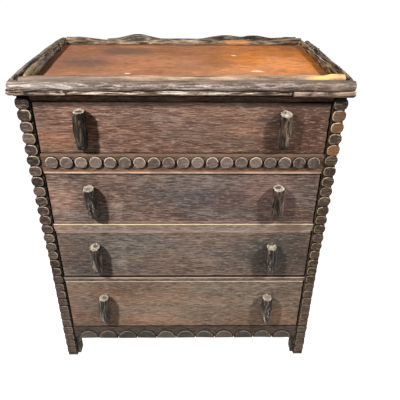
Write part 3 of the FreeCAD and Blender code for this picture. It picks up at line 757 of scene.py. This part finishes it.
def pull(drawer, side, material, seed, hollow, splits, lumps=(), stout=1.0):
    """A pull: a short, gnarled section of branch with a cut top, flat against the drawer.

    hollow is the shape of the hollow in its top, darkened with painted shade. splits are (share of the
    height, turn from straight ahead, half height, half width) of bare wood. lumps are (share of the height,
    turn, radius, rise). stout is how much fuller it is than its solid. Radius, rise and stout are in
    millimetres."""
    node = f"drawer_{drawer}_pull_{side}"
    tree, low, high = solids(node)[0]
    count = 64
    usual_radius, usual_height = 8.5, 60.0
    ridge_width, ridge_length = 2.8, 30.0
    reach = usual_height * MM
    back = high.y
    middle = (low.x + high.x) / 2.0
    top = tree.ray_cast(Vector((middle, low.y + 1.5 * MM, high.z + reach)), -Z)[0]
    front_top = top.z if top is not None else high.z - 2.0 * MM
    fall = (high.z - front_top) / (back - low.y - 1.5 * MM)
    full = high.z - fall * (back - low.y) - low.z - 0.3 * MM
    mesh = Lattice(56)
    twist = random.Random(seed).uniform(-0.9, 0.9)
    for step in range(count + 1):
        share = step / count
        guess = Vector((middle, back - 4.0 * MM, low.z + 0.2 * MM + full * share))
        centre = section_centre(tree, guess, X, Y, reach)
        reaches = section_reaches(tree, centre, X, Y, mesh.angles, reach, missing=1.0 * MM)
        wander = 0.25 * noise.noise(Vector((9.0 * share, seed, 0.0)))
        rim = max(0.0, 1.0 - (1.0 - share) * full / (1.3 * MM))
        foot = max(0.0, 1.0 - share * full / (4.0 * MM))
        for angle, distance in zip(mesh.angles, reaches):
            across, up = math.cos(angle), math.sin(angle)
            outward = turned(X, Y, angle)
            twisted = angle + twist * share
            where = Vector((math.cos(twisted), math.sin(twisted), 0.0)) * (usual_radius / ridge_width)
            where.z = share * usual_height / ridge_length
            height = ridged(where, seed)
            broad = 0.5 + 0.5 * noise.noise(Vector((across, up, 2.6 * share + seed)))
            ahead = math.atan2(math.sin(angle + math.pi / 2.0), math.cos(angle + math.pi / 2.0))
            bare = 0.0
            for place_up, turn, half_height, half_width in splits:
                offset = math.hypot((share - place_up) / half_height, (ahead - turn - wander) / half_width)
                bare = max(bare, clamp(1.6 - 1.3 * offset))
            inset = 1.1 * MM * (1.0 - height) * (1.0 - bare) + 0.45 * MM * broad + 0.5 * MM * bare
            for place_up, turn, radius, rise in lumps:
                offset = math.hypot((share - place_up) * full, (ahead - turn) * 8.0 * MM) / (radius * MM)
                inset -= rise * MM * math.exp(-offset * offset)
            inset -= stout * MM * (0.5 + math.sin(math.pi * share))
            inset += 0.7 * MM * rim * rim
            inset += 0.8 * MM * foot * foot
            point = centre + outward * max(0.2 * MM, distance - inset)
            point.y = min(point.y, back)
            if distance * abs(outward.y) > back - centre.y - 0.05 * MM and outward.y > 0.2:
                point.y = back
            point.z = low.z + 0.1 * MM + (high.z - fall * (back - point.y) - low.z - 0.2 * MM) * share
            mesh.add(point, height, bare, 0.0, (across, up, seed))
    mesh.close(seed, hollow_shape(*hollow), [0.96 - 0.08 * index for index in range(12)])
    make_piece(f"pull_{drawer}_{side}", mesh.points, mesh.faces, mesh.values, material, f"drawer_{drawer}",
               node, "pull_wood")


# ---- Boards --------------------------------------------------------------------------------------
EDGES = {"left": (0, 0), "right": (0, 1), "front": (1, 0), "back": (1, 1), "bottom": (2, 0), "top": (2, 1)}


def edge_lines(node, rows):
    """Lines along a board's edges for wood(), from rows of (edge, how far inside it, half width, colour,
    strength, how broken), with both measures in millimetres."""
    lines = []
    for edge, inward, half_width, *rest in rows:
        axis, corner = EDGES[edge]
        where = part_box(node)[corner][axis] + (inward, -inward)[corner] * MM
        lines.append((axis, where, half_width * MM, *rest))
    return lines


def make_fronts():
    """One weathered oak for each drawer front, from reddish at the top to greyer and browner below."""
    tones = {
        1: ((0.182, 0.105, 0.077), (0.074, 0.039, 0.028), (0.35, 0.235, 0.18)),
        2: ((0.147, 0.104, 0.087), (0.059, 0.04, 0.033), (0.3, 0.225, 0.19)),
        3: ((0.137, 0.106, 0.087), (0.057, 0.042, 0.035), (0.28, 0.22, 0.185)),
        4: ((0.19, 0.133, 0.096), (0.088, 0.058, 0.042), (0.34, 0.255, 0.19)),
    }
    # Rows of (share of the width, metres further right, share of the height above the middle, half width,
    # half height, colour, strength).
    stains = {
        1: ((0.0, 0.02, -0.3, 0.04, 0.022, (0.31, 0.15, 0.075), 0.6),
            (0.9, 0.0, 0.0, 0.085, 0.07, (0.066, 0.042, 0.033), 0.9),
            (0.68, 0.0, 0.0, 0.05, 0.03, (0.3, 0.15, 0.09), 0.4),
            (0.72, 0.0, -0.3, 0.1, 0.018, (0.14, 0.1, 0.075), 0.5),
            (0.5, 0.03, 0.0, 0.07, 0.05, (0.155, 0.096, 0.07), 0.5)),
        2: ((0.0, 0.02, 0.0, 0.035, 0.05, (0.42, 0.28, 0.22), 0.55),
            (0.0, 0.105, -0.15, 0.012, 0.03, (0.36, 0.26, 0.2), 0.55),
            (0.5, 0.06, 0.0, 0.13, 0.035, (0.078, 0.062, 0.064), 0.8),
            (0.5, 0.16, -0.1, 0.05, 0.012, (0.19, 0.155, 0.16), 0.5),
            (0.8, 0.0, 0.2, 0.07, 0.04, (0.22, 0.155, 0.14), 0.6)),
        3: ((0.0, 0.035, 0.0, 0.06, 0.05, (0.105, 0.074, 0.062), 0.7),
            (0.88, 0.0, 0.0, 0.09, 0.06, (0.066, 0.062, 0.055), 0.85),
            (0.0, 0.105, -0.22, 0.014, 0.018, (0.34, 0.28, 0.215), 0.6),
            (0.5, 0.02, 0.0, 0.05, 0.02, (0.16, 0.135, 0.115), 0.4)),
        4: ((0.5, -0.08, 0.0, 0.13, 0.035, (0.25, 0.18, 0.13), 0.5),
            (0.5, 0.17, -0.2, 0.03, 0.03, (0.34, 0.2, 0.13), 0.5),
            (0.0, 0.13, -0.25, 0.12, 0.03, (0.33, 0.2, 0.145), 0.5)),
    }
    bottom_gap_shade = {1: 0.5, 2: 0.9, 3: 0.8, 4: 0.95}
    # The darkest lines are painted shade: on drawer 1 a broad shadow under the top rail and a narrow line in
    # the gap above it, on drawer 2 a line in the gap above it. The lighter lines run along arrises.
    edges = {
        1: (("top", 0.0, 9.0, PAINTED_SHADE, 0.72, 0.0), ("top", 0.0, 1.8, PAINTED_SHADE, 0.9, 0.1)),
        2: (("top", 0.0, 1.4, PAINTED_SHADE, 0.9, 0.2), ("bottom", 2.4, 1.7, (0.44, 0.28, 0.2), 0.65, 0.5)),
        3: (("top", 0.0, 1.3, (0.46, 0.34, 0.25), 0.8, 0.55),
            ("bottom", 1.9, 1.1, (0.34, 0.26, 0.2), 0.6, 0.5)),
        4: (("top", 0.0, 1.3, (0.62, 0.48, 0.37), 0.85, 0.4),),
    }
    for drawer in DRAWERS:
        node = f"drawer_{drawer}_front"
        low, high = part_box(node)
        wide, tall = high.x - low.x, high.z - low.z
        middle = (low + high) / 2.0
        left_tint = (0.16, 0.096, 0.072) if drawer == 1 else (0.24, 0.145, 0.11)
        patches = [((low.x, middle.y, middle.z), (0.1 * wide, 0.05, 0.62 * tall), left_tint, 0.45)]
        for share, right, up, half_width, half_height, *rest in stains[drawer]:
            centre = (low.x + share * wide + right, middle.y, middle.z + up * tall)
            patches.append((centre, (half_width, 0.05, half_height), *rest))
        # The darkest lines paint shade into the gaps at the bottom and sides of each front.
        rows = (("bottom", 0.0, 1.2, PAINTED_SHADE, bottom_gap_shade[drawer], 0.2), ("right", 0.0, 1.2, PAINTED_SHADE, 0.8, 0.4),
                ("left", 0.0, 0.9, PAINTED_SHADE, 0.6, 0.5), *edges[drawer])
        material = wood(f"oak_front_{drawer}", *tones[drawer], seed=3.0 * drawer, patches=patches,
                        lines=edge_lines(node, rows), contrast=1.15, relief=0.5)
        front_board(drawer, material, 10.0 * drawer)


def rail(node, seed, tones, *rows, patches=()):
    material = wood(f"{node}_wood", *tones, seed=seed, patches=patches, lines=edge_lines(node, rows))
    ease(node, 0.7 * MM, material)


def make_rails():
    # The darkest lines on the rails are painted shade: a soft band and a line along the top rail's lower
    # edge, and lines in the gaps between the rails and the drawer fronts.
    chip = (-0.1715, face_y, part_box("top_rail")[1].z - 2.2 * MM)
    rail("top_rail", 21.0, ((0.39, 0.23, 0.16), (0.17, 0.1, 0.069), (0.62, 0.39, 0.275)),
         ("bottom", 0.0, 4.5, PAINTED_SHADE, 0.3, 0.0), ("bottom", 0.0, 1.8, PAINTED_SHADE, 0.8, 0.3),
         patches=[(chip, (2.4 * MM, 9.0 * MM, 0.9 * MM), (0.8, 0.72, 0.64), 1.0)])
    rail("divider_rail_1", 22.0, ((0.125, 0.078, 0.056), (0.052, 0.032, 0.022), (0.25, 0.155, 0.108)),
         ("top", 2.0, 3.0, (0.26, 0.165, 0.115), 0.7, 0.3),
         ("bottom", 2.5, 3.4, (0.44, 0.235, 0.15), 0.85, 0.5),
         ("bottom", 1.5, 1.1, (0.86, 0.62, 0.44), 0.9, 0.5),
         ("bottom", 0.0, 0.9, PAINTED_SHADE, 0.95, 0.1), ("top", 0.0, 0.8, PAINTED_SHADE, 0.5, 0.4))
    rail("divider_rail_2", 23.0, ((0.235, 0.168, 0.138), (0.115, 0.076, 0.06), (0.38, 0.29, 0.24)),
         ("top", 1.15, 0.9, (0.95, 0.82, 0.55), 1.0, 0.1),
         ("bottom", 0.6, 1.0, (0.66, 0.52, 0.43), 0.85, 0.3),
         ("right", 50.0, 30.0, (0.13, 0.075, 0.055), 0.5, 0.2))
    rail("divider_rail_3", 24.0, ((0.15, 0.105, 0.08), (0.065, 0.043, 0.032), (0.3, 0.215, 0.165)),
         ("top", 3.5, 1.5, (0.66, 0.51, 0.39), 0.9, 0.3), ("top", 0.7, 2.0, PAINTED_SHADE, 0.97, 0.1),
         ("bottom", 0.0, 1.4, PAINTED_SHADE, 0.5, 0.5))
    rail("bottom_rail", 25.0, ((0.072, 0.056, 0.044), (0.03, 0.023, 0.018), (0.15, 0.12, 0.098)),
         ("top", 0.0, 1.0, PAINTED_SHADE, 0.9, 0.2))


def dress_case():
    """The posts, panels, feet, runners and the plain boards of the drawers."""
    post = wood("post_wood", (0.065, 0.043, 0.031), (0.022, 0.014, 0.01), (0.17, 0.12, 0.085), grain=2,
                seed=31.0)
    panel = wood("panel_wood", (0.12, 0.074, 0.052), (0.05, 0.03, 0.021), (0.22, 0.145, 0.105), grain=2,
                 seed=32.0, contrast=0.9)
    back = wood("back_wood", (0.17, 0.115, 0.082), (0.08, 0.052, 0.036), (0.29, 0.21, 0.155), seed=33.0,
                contrast=0.9)
    # The foot blocks' dark tone is painted shade behind the bottom rail.
    shaded_block = wood("block_shade_wood", (0.05, 0.04, 0.031), (0.02, 0.015, 0.012), (0.26, 0.23, 0.18), grain=2,
                 seed=34.0)
    inner, cross = (wood(name, (0.34, 0.235, 0.155), (0.2, 0.13, 0.08), (0.47, 0.35, 0.245), grain=grain,
                         seed=seed, contrast=0.8, dashes=0.2)
                    for name, grain, seed in (("inner_wood", 1, 35.0), ("inner_cross_wood", 0, 36.0)))
    for side in SIDES:
        ease(f"post_front_{side}", 1.0 * MM, post)
        ease(f"post_rear_{side}", 1.0 * MM, post)
        ease(f"side_panel_{side}", 0.5 * MM, panel)
    ease("back_panel", 0.8 * MM, back)
    ease("foot_blocks", 0.8 * MM, shaded_block)
    ease("drawer_runners", 0.5 * MM, inner)
    for drawer in DRAWERS:
        for side in SIDES:
            ease(f"drawer_{drawer}_side_{side}", 0.7 * MM, inner)
        ease(f"drawer_{drawer}_back", 0.7 * MM, cross)
        ease(f"drawer_{drawer}_bottom", 0.3 * MM, cross)


def dress_top():
    """The stained top: orange towards the right, browner at the left, with dull grey stains."""
    # Rows of (x, y, half width, half depth, colour, strength).
    stains = (
        (0.15, 0.02, 0.15, 0.16, (0.66, 0.222, 0.036), 0.95),
        (0.02, 0.07, 0.09, 0.05, (0.29, 0.115, 0.046), 0.6),
        (-0.17, 0.02, 0.09, 0.14, (0.22, 0.105, 0.068), 0.85),
        (-0.1, 0.08, 0.075, 0.036, (0.115, 0.08, 0.06), 0.85),
        (-0.165, 0.0, 0.045, 0.04, (0.11, 0.078, 0.064), 0.8),
        (-0.105, -0.098, 0.055, 0.022, (0.52, 0.2, 0.075), 0.7),
        (-0.165, 0.075, 0.03, 0.03, (0.3, 0.125, 0.065), 0.6),
        (-0.13, 0.03, 0.09, 0.02, (0.36, 0.185, 0.12), 0.5),
        (-0.12, -0.085, 0.09, 0.03, (0.36, 0.175, 0.105), 0.6),
        (0.055, 0.0, 0.035, 0.045, (0.21, 0.095, 0.048), 0.7),
        (0.09, 0.085, 0.1, 0.03, (0.37, 0.155, 0.076), 0.6),
        (0.0, -0.112, 0.25, 0.016, (0.4, 0.23, 0.135), 0.55),
    )
    flecks = (
        (0.085, 0.052, 0.006, 0.004, (0.95, 0.88, 0.76), 1.0),
        (0.115, -0.052, 0.014, 0.005, (0.95, 0.8, 0.62), 1.0),
        (-0.085, -0.068, 0.006, 0.005, (0.9, 0.75, 0.6), 0.9),
    )
    patches = [((x, y, top_surface), (half_width, half_depth, half_height), *rest)
               for rows, half_height in ((stains, 0.05), (flecks, 0.01))
               for x, y, half_width, half_depth, *rest in rows]
    # The darkest lines are painted shade along the board's edges, under the front strip and the side and
    # back twigs, with a painted shadow just in front of the back twig.
    brown = (0.055, 0.03, 0.019)
    lines = edge_lines("top_board", [("front", 0.0, 3.0, PAINTED_SHADE, 0.95, 0.0)] + [
        (edge, 0.0, 3.0, brown, 0.9, 0.1) for edge in ("back", "left", "right")])
    lines += [(1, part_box("trim_back_twig")[0].y - 2.0 * MM, 4.0 * MM, PAINTED_SHADE, 0.75, 0.2),
              (1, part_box("trim_front_strip")[1].y, 2.5 * MM, (0.62, 0.38, 0.22), 0.5, 0.6)]
    material = wood("top_stain_wood", (0.345, 0.154, 0.08), (0.17, 0.076, 0.042), (0.53, 0.25, 0.125),
                    seed=41.0, patches=patches, lines=lines, dashes=0.15, roughness=0.58, relief=0.2,
                    clouds=(16.0, 42.0), drift=0.1)
    ease("top_board", 0.8 * MM, material)


# ---- The trim's pieces ---------------------------------------------------------------------------
def make_front_twigs():
    # The front branch: darker where its bark faces up, with a little painted shade on its underside.
    lilac = bark("bark_front", (0.075, 0.05, 0.038), (0.31, 0.235, 0.2), (0.74, 0.63, 0.575),
                 (0.4, 0.28, 0.2), seed=1.0, contrast=1.25, weights=(0.7, 0.7, 1.1), crown=0.75,
                 under_shade=0.15, under_shade_from=(0.3, -0.1),
                 patches=[((0.2, -0.14, top_surface), (0.06, 0.03, 0.03), (0.34, 0.23, 0.18), 0.6),
                          ((-0.17, -0.14, top_surface), (0.08, 0.03, 0.03), (0.8, 0.7, 0.65), 0.35)])
    twig("twig_front_branch", "trim_front_branch", 0, lilac, 11.0, depth=(1.1, 0.5), swell=0.8,
         ridge_length=24.0, ridge_width=3.4,
         grow=lambda share: (0.5, 0.3 + 1.6 * ease_in(share, 0.45, 0.9), 0.0))
    high_up = top_surface + 0.008
    # The strip: painted shade wherever it faces less than steeply up, so lighter along its top.
    tan = bark("bark_strip", (0.13, 0.083, 0.058), (0.41, 0.28, 0.188), (0.72, 0.56, 0.4),
               (0.52, 0.37, 0.24), seed=2.0, contrast=0.85, under_shade=0.6, under_shade_from=(0.75, 0.1),
               patches=[((0.197, -0.13, high_up), (0.034, 0.03, 0.03), (1.0, 0.66, 0.24), 0.95),
                        ((-0.17, -0.13, high_up), (0.13, 0.03, 0.03), (0.235, 0.165, 0.13), 0.95)])
    twig("twig_front_strip", "trim_front_strip", 0, tan, 12.0, depth=(0.3, 0.2), swell=0.4,
         ridge_length=60.0, grow=lambda share: (
             0.0, 1.4 + 0.8 * ease_in(share, 0.3, 0.8) + 3.4 * ease_in(share, 0.92, 0.965), 0.0))
    thin_left = bark("bark_thin", (0.016, 0.01, 0.007), (0.38, 0.27, 0.2), (1.0, 0.9, 0.76),
                     (0.68, 0.57, 0.47), seed=3.0, contrast=1.4)
    # The right thin twig has painted shade on its underside.
    thin_right = bark("bark_thin_right", (0.06, 0.036, 0.026), (0.44, 0.315, 0.24), (0.84, 0.7, 0.58),
                      (0.66, 0.54, 0.44), seed=3.5, contrast=0.9, under_shade=0.5)
    first, second = solids("trim_front_twigs")
    thin = dict(depth=(0.6, 0.6), around=32, ridge_width=1.8, lean=(0.0, -1.8, 2.3))
    twig("twig_thin_1", "trim_front_twigs", 0, thin_left, 13.0, solid=first, ends=(-5.0, 0.5), **thin,
         grow=lambda share: (0.9 + 1.3 * ease_in(share, 0.3, 0.04), 1.5, 0.6))
    twig("twig_thin_2", "trim_front_twigs", 0, thin_right, 14.0, solid=second, ends=(0.5, -4.2), **thin,
         grow=lambda share: (1.9 + 0.7 * ease_in(share, 0.4, 0.8), 1.3, 0.3))


def make_side_twigs():
    left = bark("bark_left", (0.028, 0.023, 0.018), (0.158, 0.13, 0.104), (0.44, 0.39, 0.33),
                (0.34, 0.27, 0.18), grain=1, seed=4.0)
    twig("twig_left_outer", "trim_left_outer", 1, left, 15.0, depth=(0.9, 0.9), swell=0.6,
         grow=(1.5, 0.0, 0.0))
    left_inner = bark("bark_left_inner", (0.024, 0.015, 0.009), (0.105, 0.07, 0.04), (0.4, 0.3, 0.18),
                      (0.45, 0.36, 0.22), grain=1, seed=5.0, contrast=1.5,
                      patches=[((-0.222, -0.085, top_surface + 0.008), (0.03, 0.055, 0.03),
                                (0.36, 0.27, 0.165), 0.9)])
    twig("twig_left_inner", "trim_left_inner", 1, left_inner, 16.0, depth=(0.7, 0.7),
         grow=lambda share: (1.3 - 1.6 * share, 0.0, 0.0), lean=lambda share: (-8.0 * share, 0.0, 0.0))
    right = bark("bark_right", (0.03, 0.02, 0.013), (0.17, 0.115, 0.072), (0.54, 0.41, 0.28),
                 (0.4, 0.31, 0.2), grain=1, seed=6.0, contrast=1.3)
    twig("twig_right_outer", "trim_right_outer", 1, right, 17.0, depth=(0.9, 0.9), swell=0.9)
    right_inner = bark("bark_right_inner", (0.026, 0.014, 0.007), (0.205, 0.115, 0.052),
                       (0.66, 0.46, 0.24), (0.5, 0.38, 0.22), grain=1, seed=9.0, contrast=1.6)
    for number, solid in enumerate(sorted(solids("trim_right_inner"), key=lambda entry: entry[1].y)):
        twig(f"twig_right_inner_{number + 1}", "trim_right_inner", 1, right_inner, 18.0 + number,
             solid=solid, depth=(0.7, 0.7), swell=0.7)


def make_back_twigs():
    # The back twig has painted shade on its underside.
    rear = bark("bark_rear", (0.027, 0.018, 0.012), (0.205, 0.142, 0.095), (0.57, 0.44, 0.32),
                (0.5, 0.3, 0.14), seed=7.0, under_shade=0.65,
                patches=[((0.1, 0.143, top_surface + 0.006), (0.035, 0.03, 0.03), (0.62, 0.3, 0.12), 0.8)])
    twig("twig_back", "trim_back_twig", 0, rear, 21.0, depth=(0.7, 0.7), swell=0.6, around=36,
         ends=(-5.0, 0.5), grow=(0.9, 0.0, 1.6))
    vine = bark("bark_vine", (0.022, 0.016, 0.013), (0.098, 0.077, 0.06), (0.31, 0.26, 0.21),
                (0.36, 0.28, 0.2), seed=8.0, contrast=1.25)
    twig("twig_vine", "trim_back_vine", 0, vine, 22.0, depth=(0.8, 0.8), swell=0.3, around=32,
         ridge_width=1.8, fuller=1.6,
         grow=lambda share: (1.0, 0.0, 5.0 * ease_in(abs(share - 0.17), 0.085, 0.03)))


def make_post_slices():
    """The two columns, whose lower slices have settled into nearly plain strips."""
    left = ((0.026, 0.017, 0.013), (0.052, 0.034, 0.026), (0.128, 0.088, 0.066), (0.18, 0.122, 0.088))
    right = ((0.024, 0.017, 0.012), (0.056, 0.037, 0.027), (0.118, 0.08, 0.056), (0.28, 0.125, 0.055))
    woods = {"left": slice_wood("slices_left_wood", left, (0.6, 0.49, 0.39), (0.024, 0.017, 0.013),
                                seed=1.0, painted_highlight_side=(0.55, 0.2)),
             "right": slice_wood("slices_right_wood", right, (0.68, 0.52, 0.36), (0.028, 0.02, 0.015),
                                 seed=4.0, rim_share=0.55, painted_highlight_side=(-0.45, 0.05))}
    # The left column's top slice is dark with a faint rim: painted shade under the top's overhang.
    special = {"left": ((0.0, 0.1), (0.2, 1.3), (0.5, 0.5)),
               "right": ((0.1, 0.4), (0.8, 1.2), (0.9, 2.2), (0.45, 1.4), (1.0, 1.2), (0.5, 1.0))}
    outward = {"left": -1.7 * MM, "right": 1.1 * MM}
    larger = Vector((1.6, 0.0, 0.5)) * MM
    slices = sorted(solids("slices_posts"), key=lambda entry: -entry[1].z)
    for side in SIDES:
        column = [(low, high) for _, low, high in slices if (low.x < 0.0) == (side == "left")]
        boxes = []
        for index, (low, high) in enumerate(column):
            loose = ease_in(index / (len(column) - 1), 0.62, 0.35)
            boxes.append((low + (X * outward[side] - larger) * loose,
                          high + (X * outward[side] + larger) * loose))
        slice_group(f"slices_{side}_post", boxes, woods[side], "slices_posts", 50 + len(side),
                    special=special[side], fading=(1.15, 0.4), square=0.45,
                    settling=lambda share: ease_in(share, 0.5, 0.8))


def make_rail_slices():
    faces = ((0.06, 0.045, 0.037), (0.135, 0.102, 0.086), (0.24, 0.18, 0.145), (0.27, 0.19, 0.15))
    row = slice_wood("slices_rail_wood", faces, (0.62, 0.51, 0.41), (0.03, 0.021, 0.016), seed=2.0,
                     rim_share=0.7, painted_highlight_side=(-0.05, 0.32))
    slice_group("slices_rail_row", [(low, high) for _, low, high in solids("slices_rail")], row,
                "slices_rail", 61, ragged=0.03)
    faces = ((0.035, 0.029, 0.024), (0.06, 0.049, 0.041), (0.11, 0.088, 0.072), (0.12, 0.095, 0.08))
    base = slice_wood("slices_base_wood", faces, (0.23, 0.195, 0.16), (0.025, 0.02, 0.016), seed=3.0,
                      painted_highlight_side=(0.0, 0.4))
    # The CAD's half slices are the tops of whole ones, cut off at the rail's lower edge.
    boxes = [(Vector((low.x, low.y, 2.0 * low.z - high.z + 3.6 * MM)), high)
             for _, low, high in solids("slices_bottom_rail")]
    slice_group("slices_base_row", boxes, base, "slices_bottom_rail", 62, ragged=0.03,
                cut_below=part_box("slices_bottom_rail")[0].z)


def make_pulls():
    dark = bark("pull_bark", (0.005, 0.003, 0.002), (0.023, 0.015, 0.011), (0.16, 0.115, 0.085),
                (0.36, 0.29, 0.23), grain=2, seed=51.0, roughness=0.42, contrast=1.3,
                cut_light=(0.68, 0.61, 0.52), cut_dark=(0.15, 0.11, 0.085))
    grey = bark("pull_bark_grey", (0.007, 0.005, 0.004), (0.051, 0.039, 0.031), (0.32, 0.265, 0.215),
                (0.6, 0.54, 0.47), grain=2, seed=52.0, roughness=0.48, contrast=1.3,
                cut_light=(0.55, 0.5, 0.42), cut_dark=(0.14, 0.11, 0.085))
    brown = bark("pull_bark_brown", (0.006, 0.004, 0.003), (0.082, 0.055, 0.039), (0.31, 0.23, 0.17),
                 (0.25, 0.19, 0.145), grain=2, seed=53.0, roughness=0.45, contrast=1.4,
                 cut_light=(0.78, 0.71, 0.63), cut_dark=(0.17, 0.13, 0.1))
    shapes = {
        (1, "left"): dict(material=dark, hollow=((0.1, 0.05), (0.7, 0.5), 0.2),
                          splits=[(0.09, 0.25, 0.04, 0.24)],
                          lumps=[(0.55, -1.2, 9.0, 0.8), (0.3, 0.8, 6.0, 0.7)]),
        (1, "right"): dict(material=brown, hollow=((-0.35, 0.55), (0.6, 0.42), -0.3, 0.6),
                           splits=[(0.34, 0.32, 0.24, 0.1), (0.6, 0.1, 0.16, 0.12)], stout=0.4),
        (2, "left"): dict(material=grey, hollow=((0.1, 0.0), (0.75, 0.6), 0.3, 0.4),
                          splits=[(0.52, 0.35, 0.22, 0.06), (0.35, -0.3, 0.2, 0.05)],
                          lumps=[(0.8, 0.7, 8.0, 0.9)]),
        (2, "right"): dict(material=brown, hollow=((-0.05, 0.42), (0.74, 0.5), 0.0, 0.9),
                           splits=[(0.05, -0.5, 0.05, 0.2)]),
        (3, "left"): dict(material=grey, hollow=((0.15, 0.35), (0.62, 0.5), 0.2, 0.75),
                          splits=[(0.12, 0.2, 0.05, 0.3)]),
        (3, "right"): dict(material=grey, hollow=((0.05, 0.75), (0.8, 0.42), 0.0, 0.8),
                           splits=[(0.45, -0.35, 0.3, 0.05)]),
        (4, "left"): dict(material=grey, hollow=((0.22, 0.12), (0.6, 0.5), 0.0, 0.7),
                          splits=[(0.22, 0.0, 0.18, 0.14)]),
        (4, "right"): dict(material=grey, hollow=((0.0, 0.15), (0.6, 0.55), 0.0, 0.45),
                           splits=[(0.24, -0.42, 0.22, 0.2), (0.6, 0.3, 0.2, 0.08)]),
    }
    for (drawer, side), shape in shapes.items():
        pull(drawer, side, seed=70.0 + 2.0 * drawer + len(side), **shape)


def dress_metal():
    ease("trim_nails", 0.25 * MM, metal("nail_steel", (0.42, 0.36, 0.3), (0.24, 0.15, 0.1), 1.0))
    screws = metal("screw_steel", (0.5, 0.48, 0.44), (0.26, 0.2, 0.14), 2.0)
    for drawer in DRAWERS:
        ease(f"drawer_{drawer}_pull_screws", 0.15 * MM, screws)


# ---- Camera, floor and light -------------------------------------------------------------------
def make_camera():
    """The photograph's viewpoint: a little above the top, looking down and slightly to the right."""
    camera = place("camera", bpy.data.cameras.new("camera"))
    bpy.context.scene.camera = camera
    pitch, yaw, roll = math.radians(30.57), math.radians(0.9), math.radians(0.46)
    ahead = Vector((math.sin(yaw) * math.cos(pitch), math.cos(yaw) * math.cos(pitch), -math.sin(pitch)))
    right = Vector((math.cos(yaw), -math.sin(yaw), 0.0))
    up = right.cross(ahead)
    rotation = Matrix((turned(right, up, roll), turned(up, -right, roll), -ahead)).transposed()
    camera.matrix_world = Matrix.Translation((0.016, face_y - 0.609, 0.714)) @ rotation.to_4x4()
    camera.data.sensor_width = 36.0
    camera.data.lens = 40.4
    camera.data.clip_start = 0.01


def make_floor():
    mesh = bpy.data.meshes.new("floor")
    half = 6.0
    mesh.from_pydata([(-half, -half, 0.0), (half, -half, 0.0), (half, half, 0.0), (-half, half, 0.0)], [],
                     [(0, 1, 2, 3)])
    floor = place("floor", mesh)
    shader = Shader("floor_paint", 0.9, specular=0.0)
    shader.colour(shader.mix(shader.noise((3.0,) * 3), (0.3, 0.3, 0.3), (0.32, 0.32, 0.32)))
    shader.principled.inputs["Emission Color"].default_value = (1.0, 1.0, 1.0, 1.0)
    path = shader.node("LightPath").outputs
    seen = shader.maths("MAXIMUM", path["Is Glossy Ray"], path["Is Transmission Ray"])
    seen = shader.maths("MAXIMUM", path["Is Camera Ray"], seen)
    shader.put(seen, shader.principled.inputs["Emission Strength"])
    dress(floor, shader.material)


def lamp(name, kind, stand, aim, power, warmth, narrow=1.0, **settings):
    """A studio lamp. narrow is how narrow a spot's beam is from side to side, next to its height."""
    data = bpy.data.lights.new(name, kind)
    data.energy = power
    data.color = warmth
    for key, value in settings.items():
        setattr(data, key, value)
    made = place(name, data)
    made.location = stand
    made.rotation_euler = (Vector(aim) - Vector(stand)).to_track_quat("-Z", "Y").to_euler()
    made.scale = (narrow, 1.0, 1.0)
    made.visible_camera = False


def make_light():
    world = bpy.data.worlds.new("studio")
    bpy.context.scene.world = world
    sky = Nodes(world)
    background = sky.tree.nodes["Background"].inputs
    background["Color"].default_value = (1.0, 1.0, 1.0, 1.0)
    path = sky.node("LightPath").outputs
    seen = sky.maths("MAXIMUM", path["Is Camera Ray"], path["Is Transmission Ray"])
    strength = sky.node("MapRange", {"Value": seen, "To Min": 0.07, "To Max": 1.0})
    sky.put(strength.outputs[0], background["Strength"])
    beam = dict(spot_blend=1.0, shadow_soft_size=0.05, spot_size=math.radians(80.0))
    lamp("left", "SPOT", (-0.8, -0.76, 1.23), (-0.24, -0.14, 0.3), 123.0, (1.0, 0.98, 0.95), 0.52, **beam)
    lamp("right", "SPOT", (0.9, -0.66, 1.2), (0.24, -0.14, 0.3), 76.0, (1.0, 0.97, 0.93), 0.31, **beam)
    lamp("rear", "AREA", (0.35, 1.3, 0.49), (0.0, 0.15, 0.28), 12.0, (1.0, 0.98, 0.95), size=0.4)


make_fronts()
make_rails()
dress_case()
dress_top()
make_front_twigs()
make_side_twigs()
make_back_twigs()
make_post_slices()
make_rail_slices()
make_pulls()
dress_metal()
make_camera()
make_floor()
make_light()

bpy.context.scene.view_settings.view_transform = "Standard"
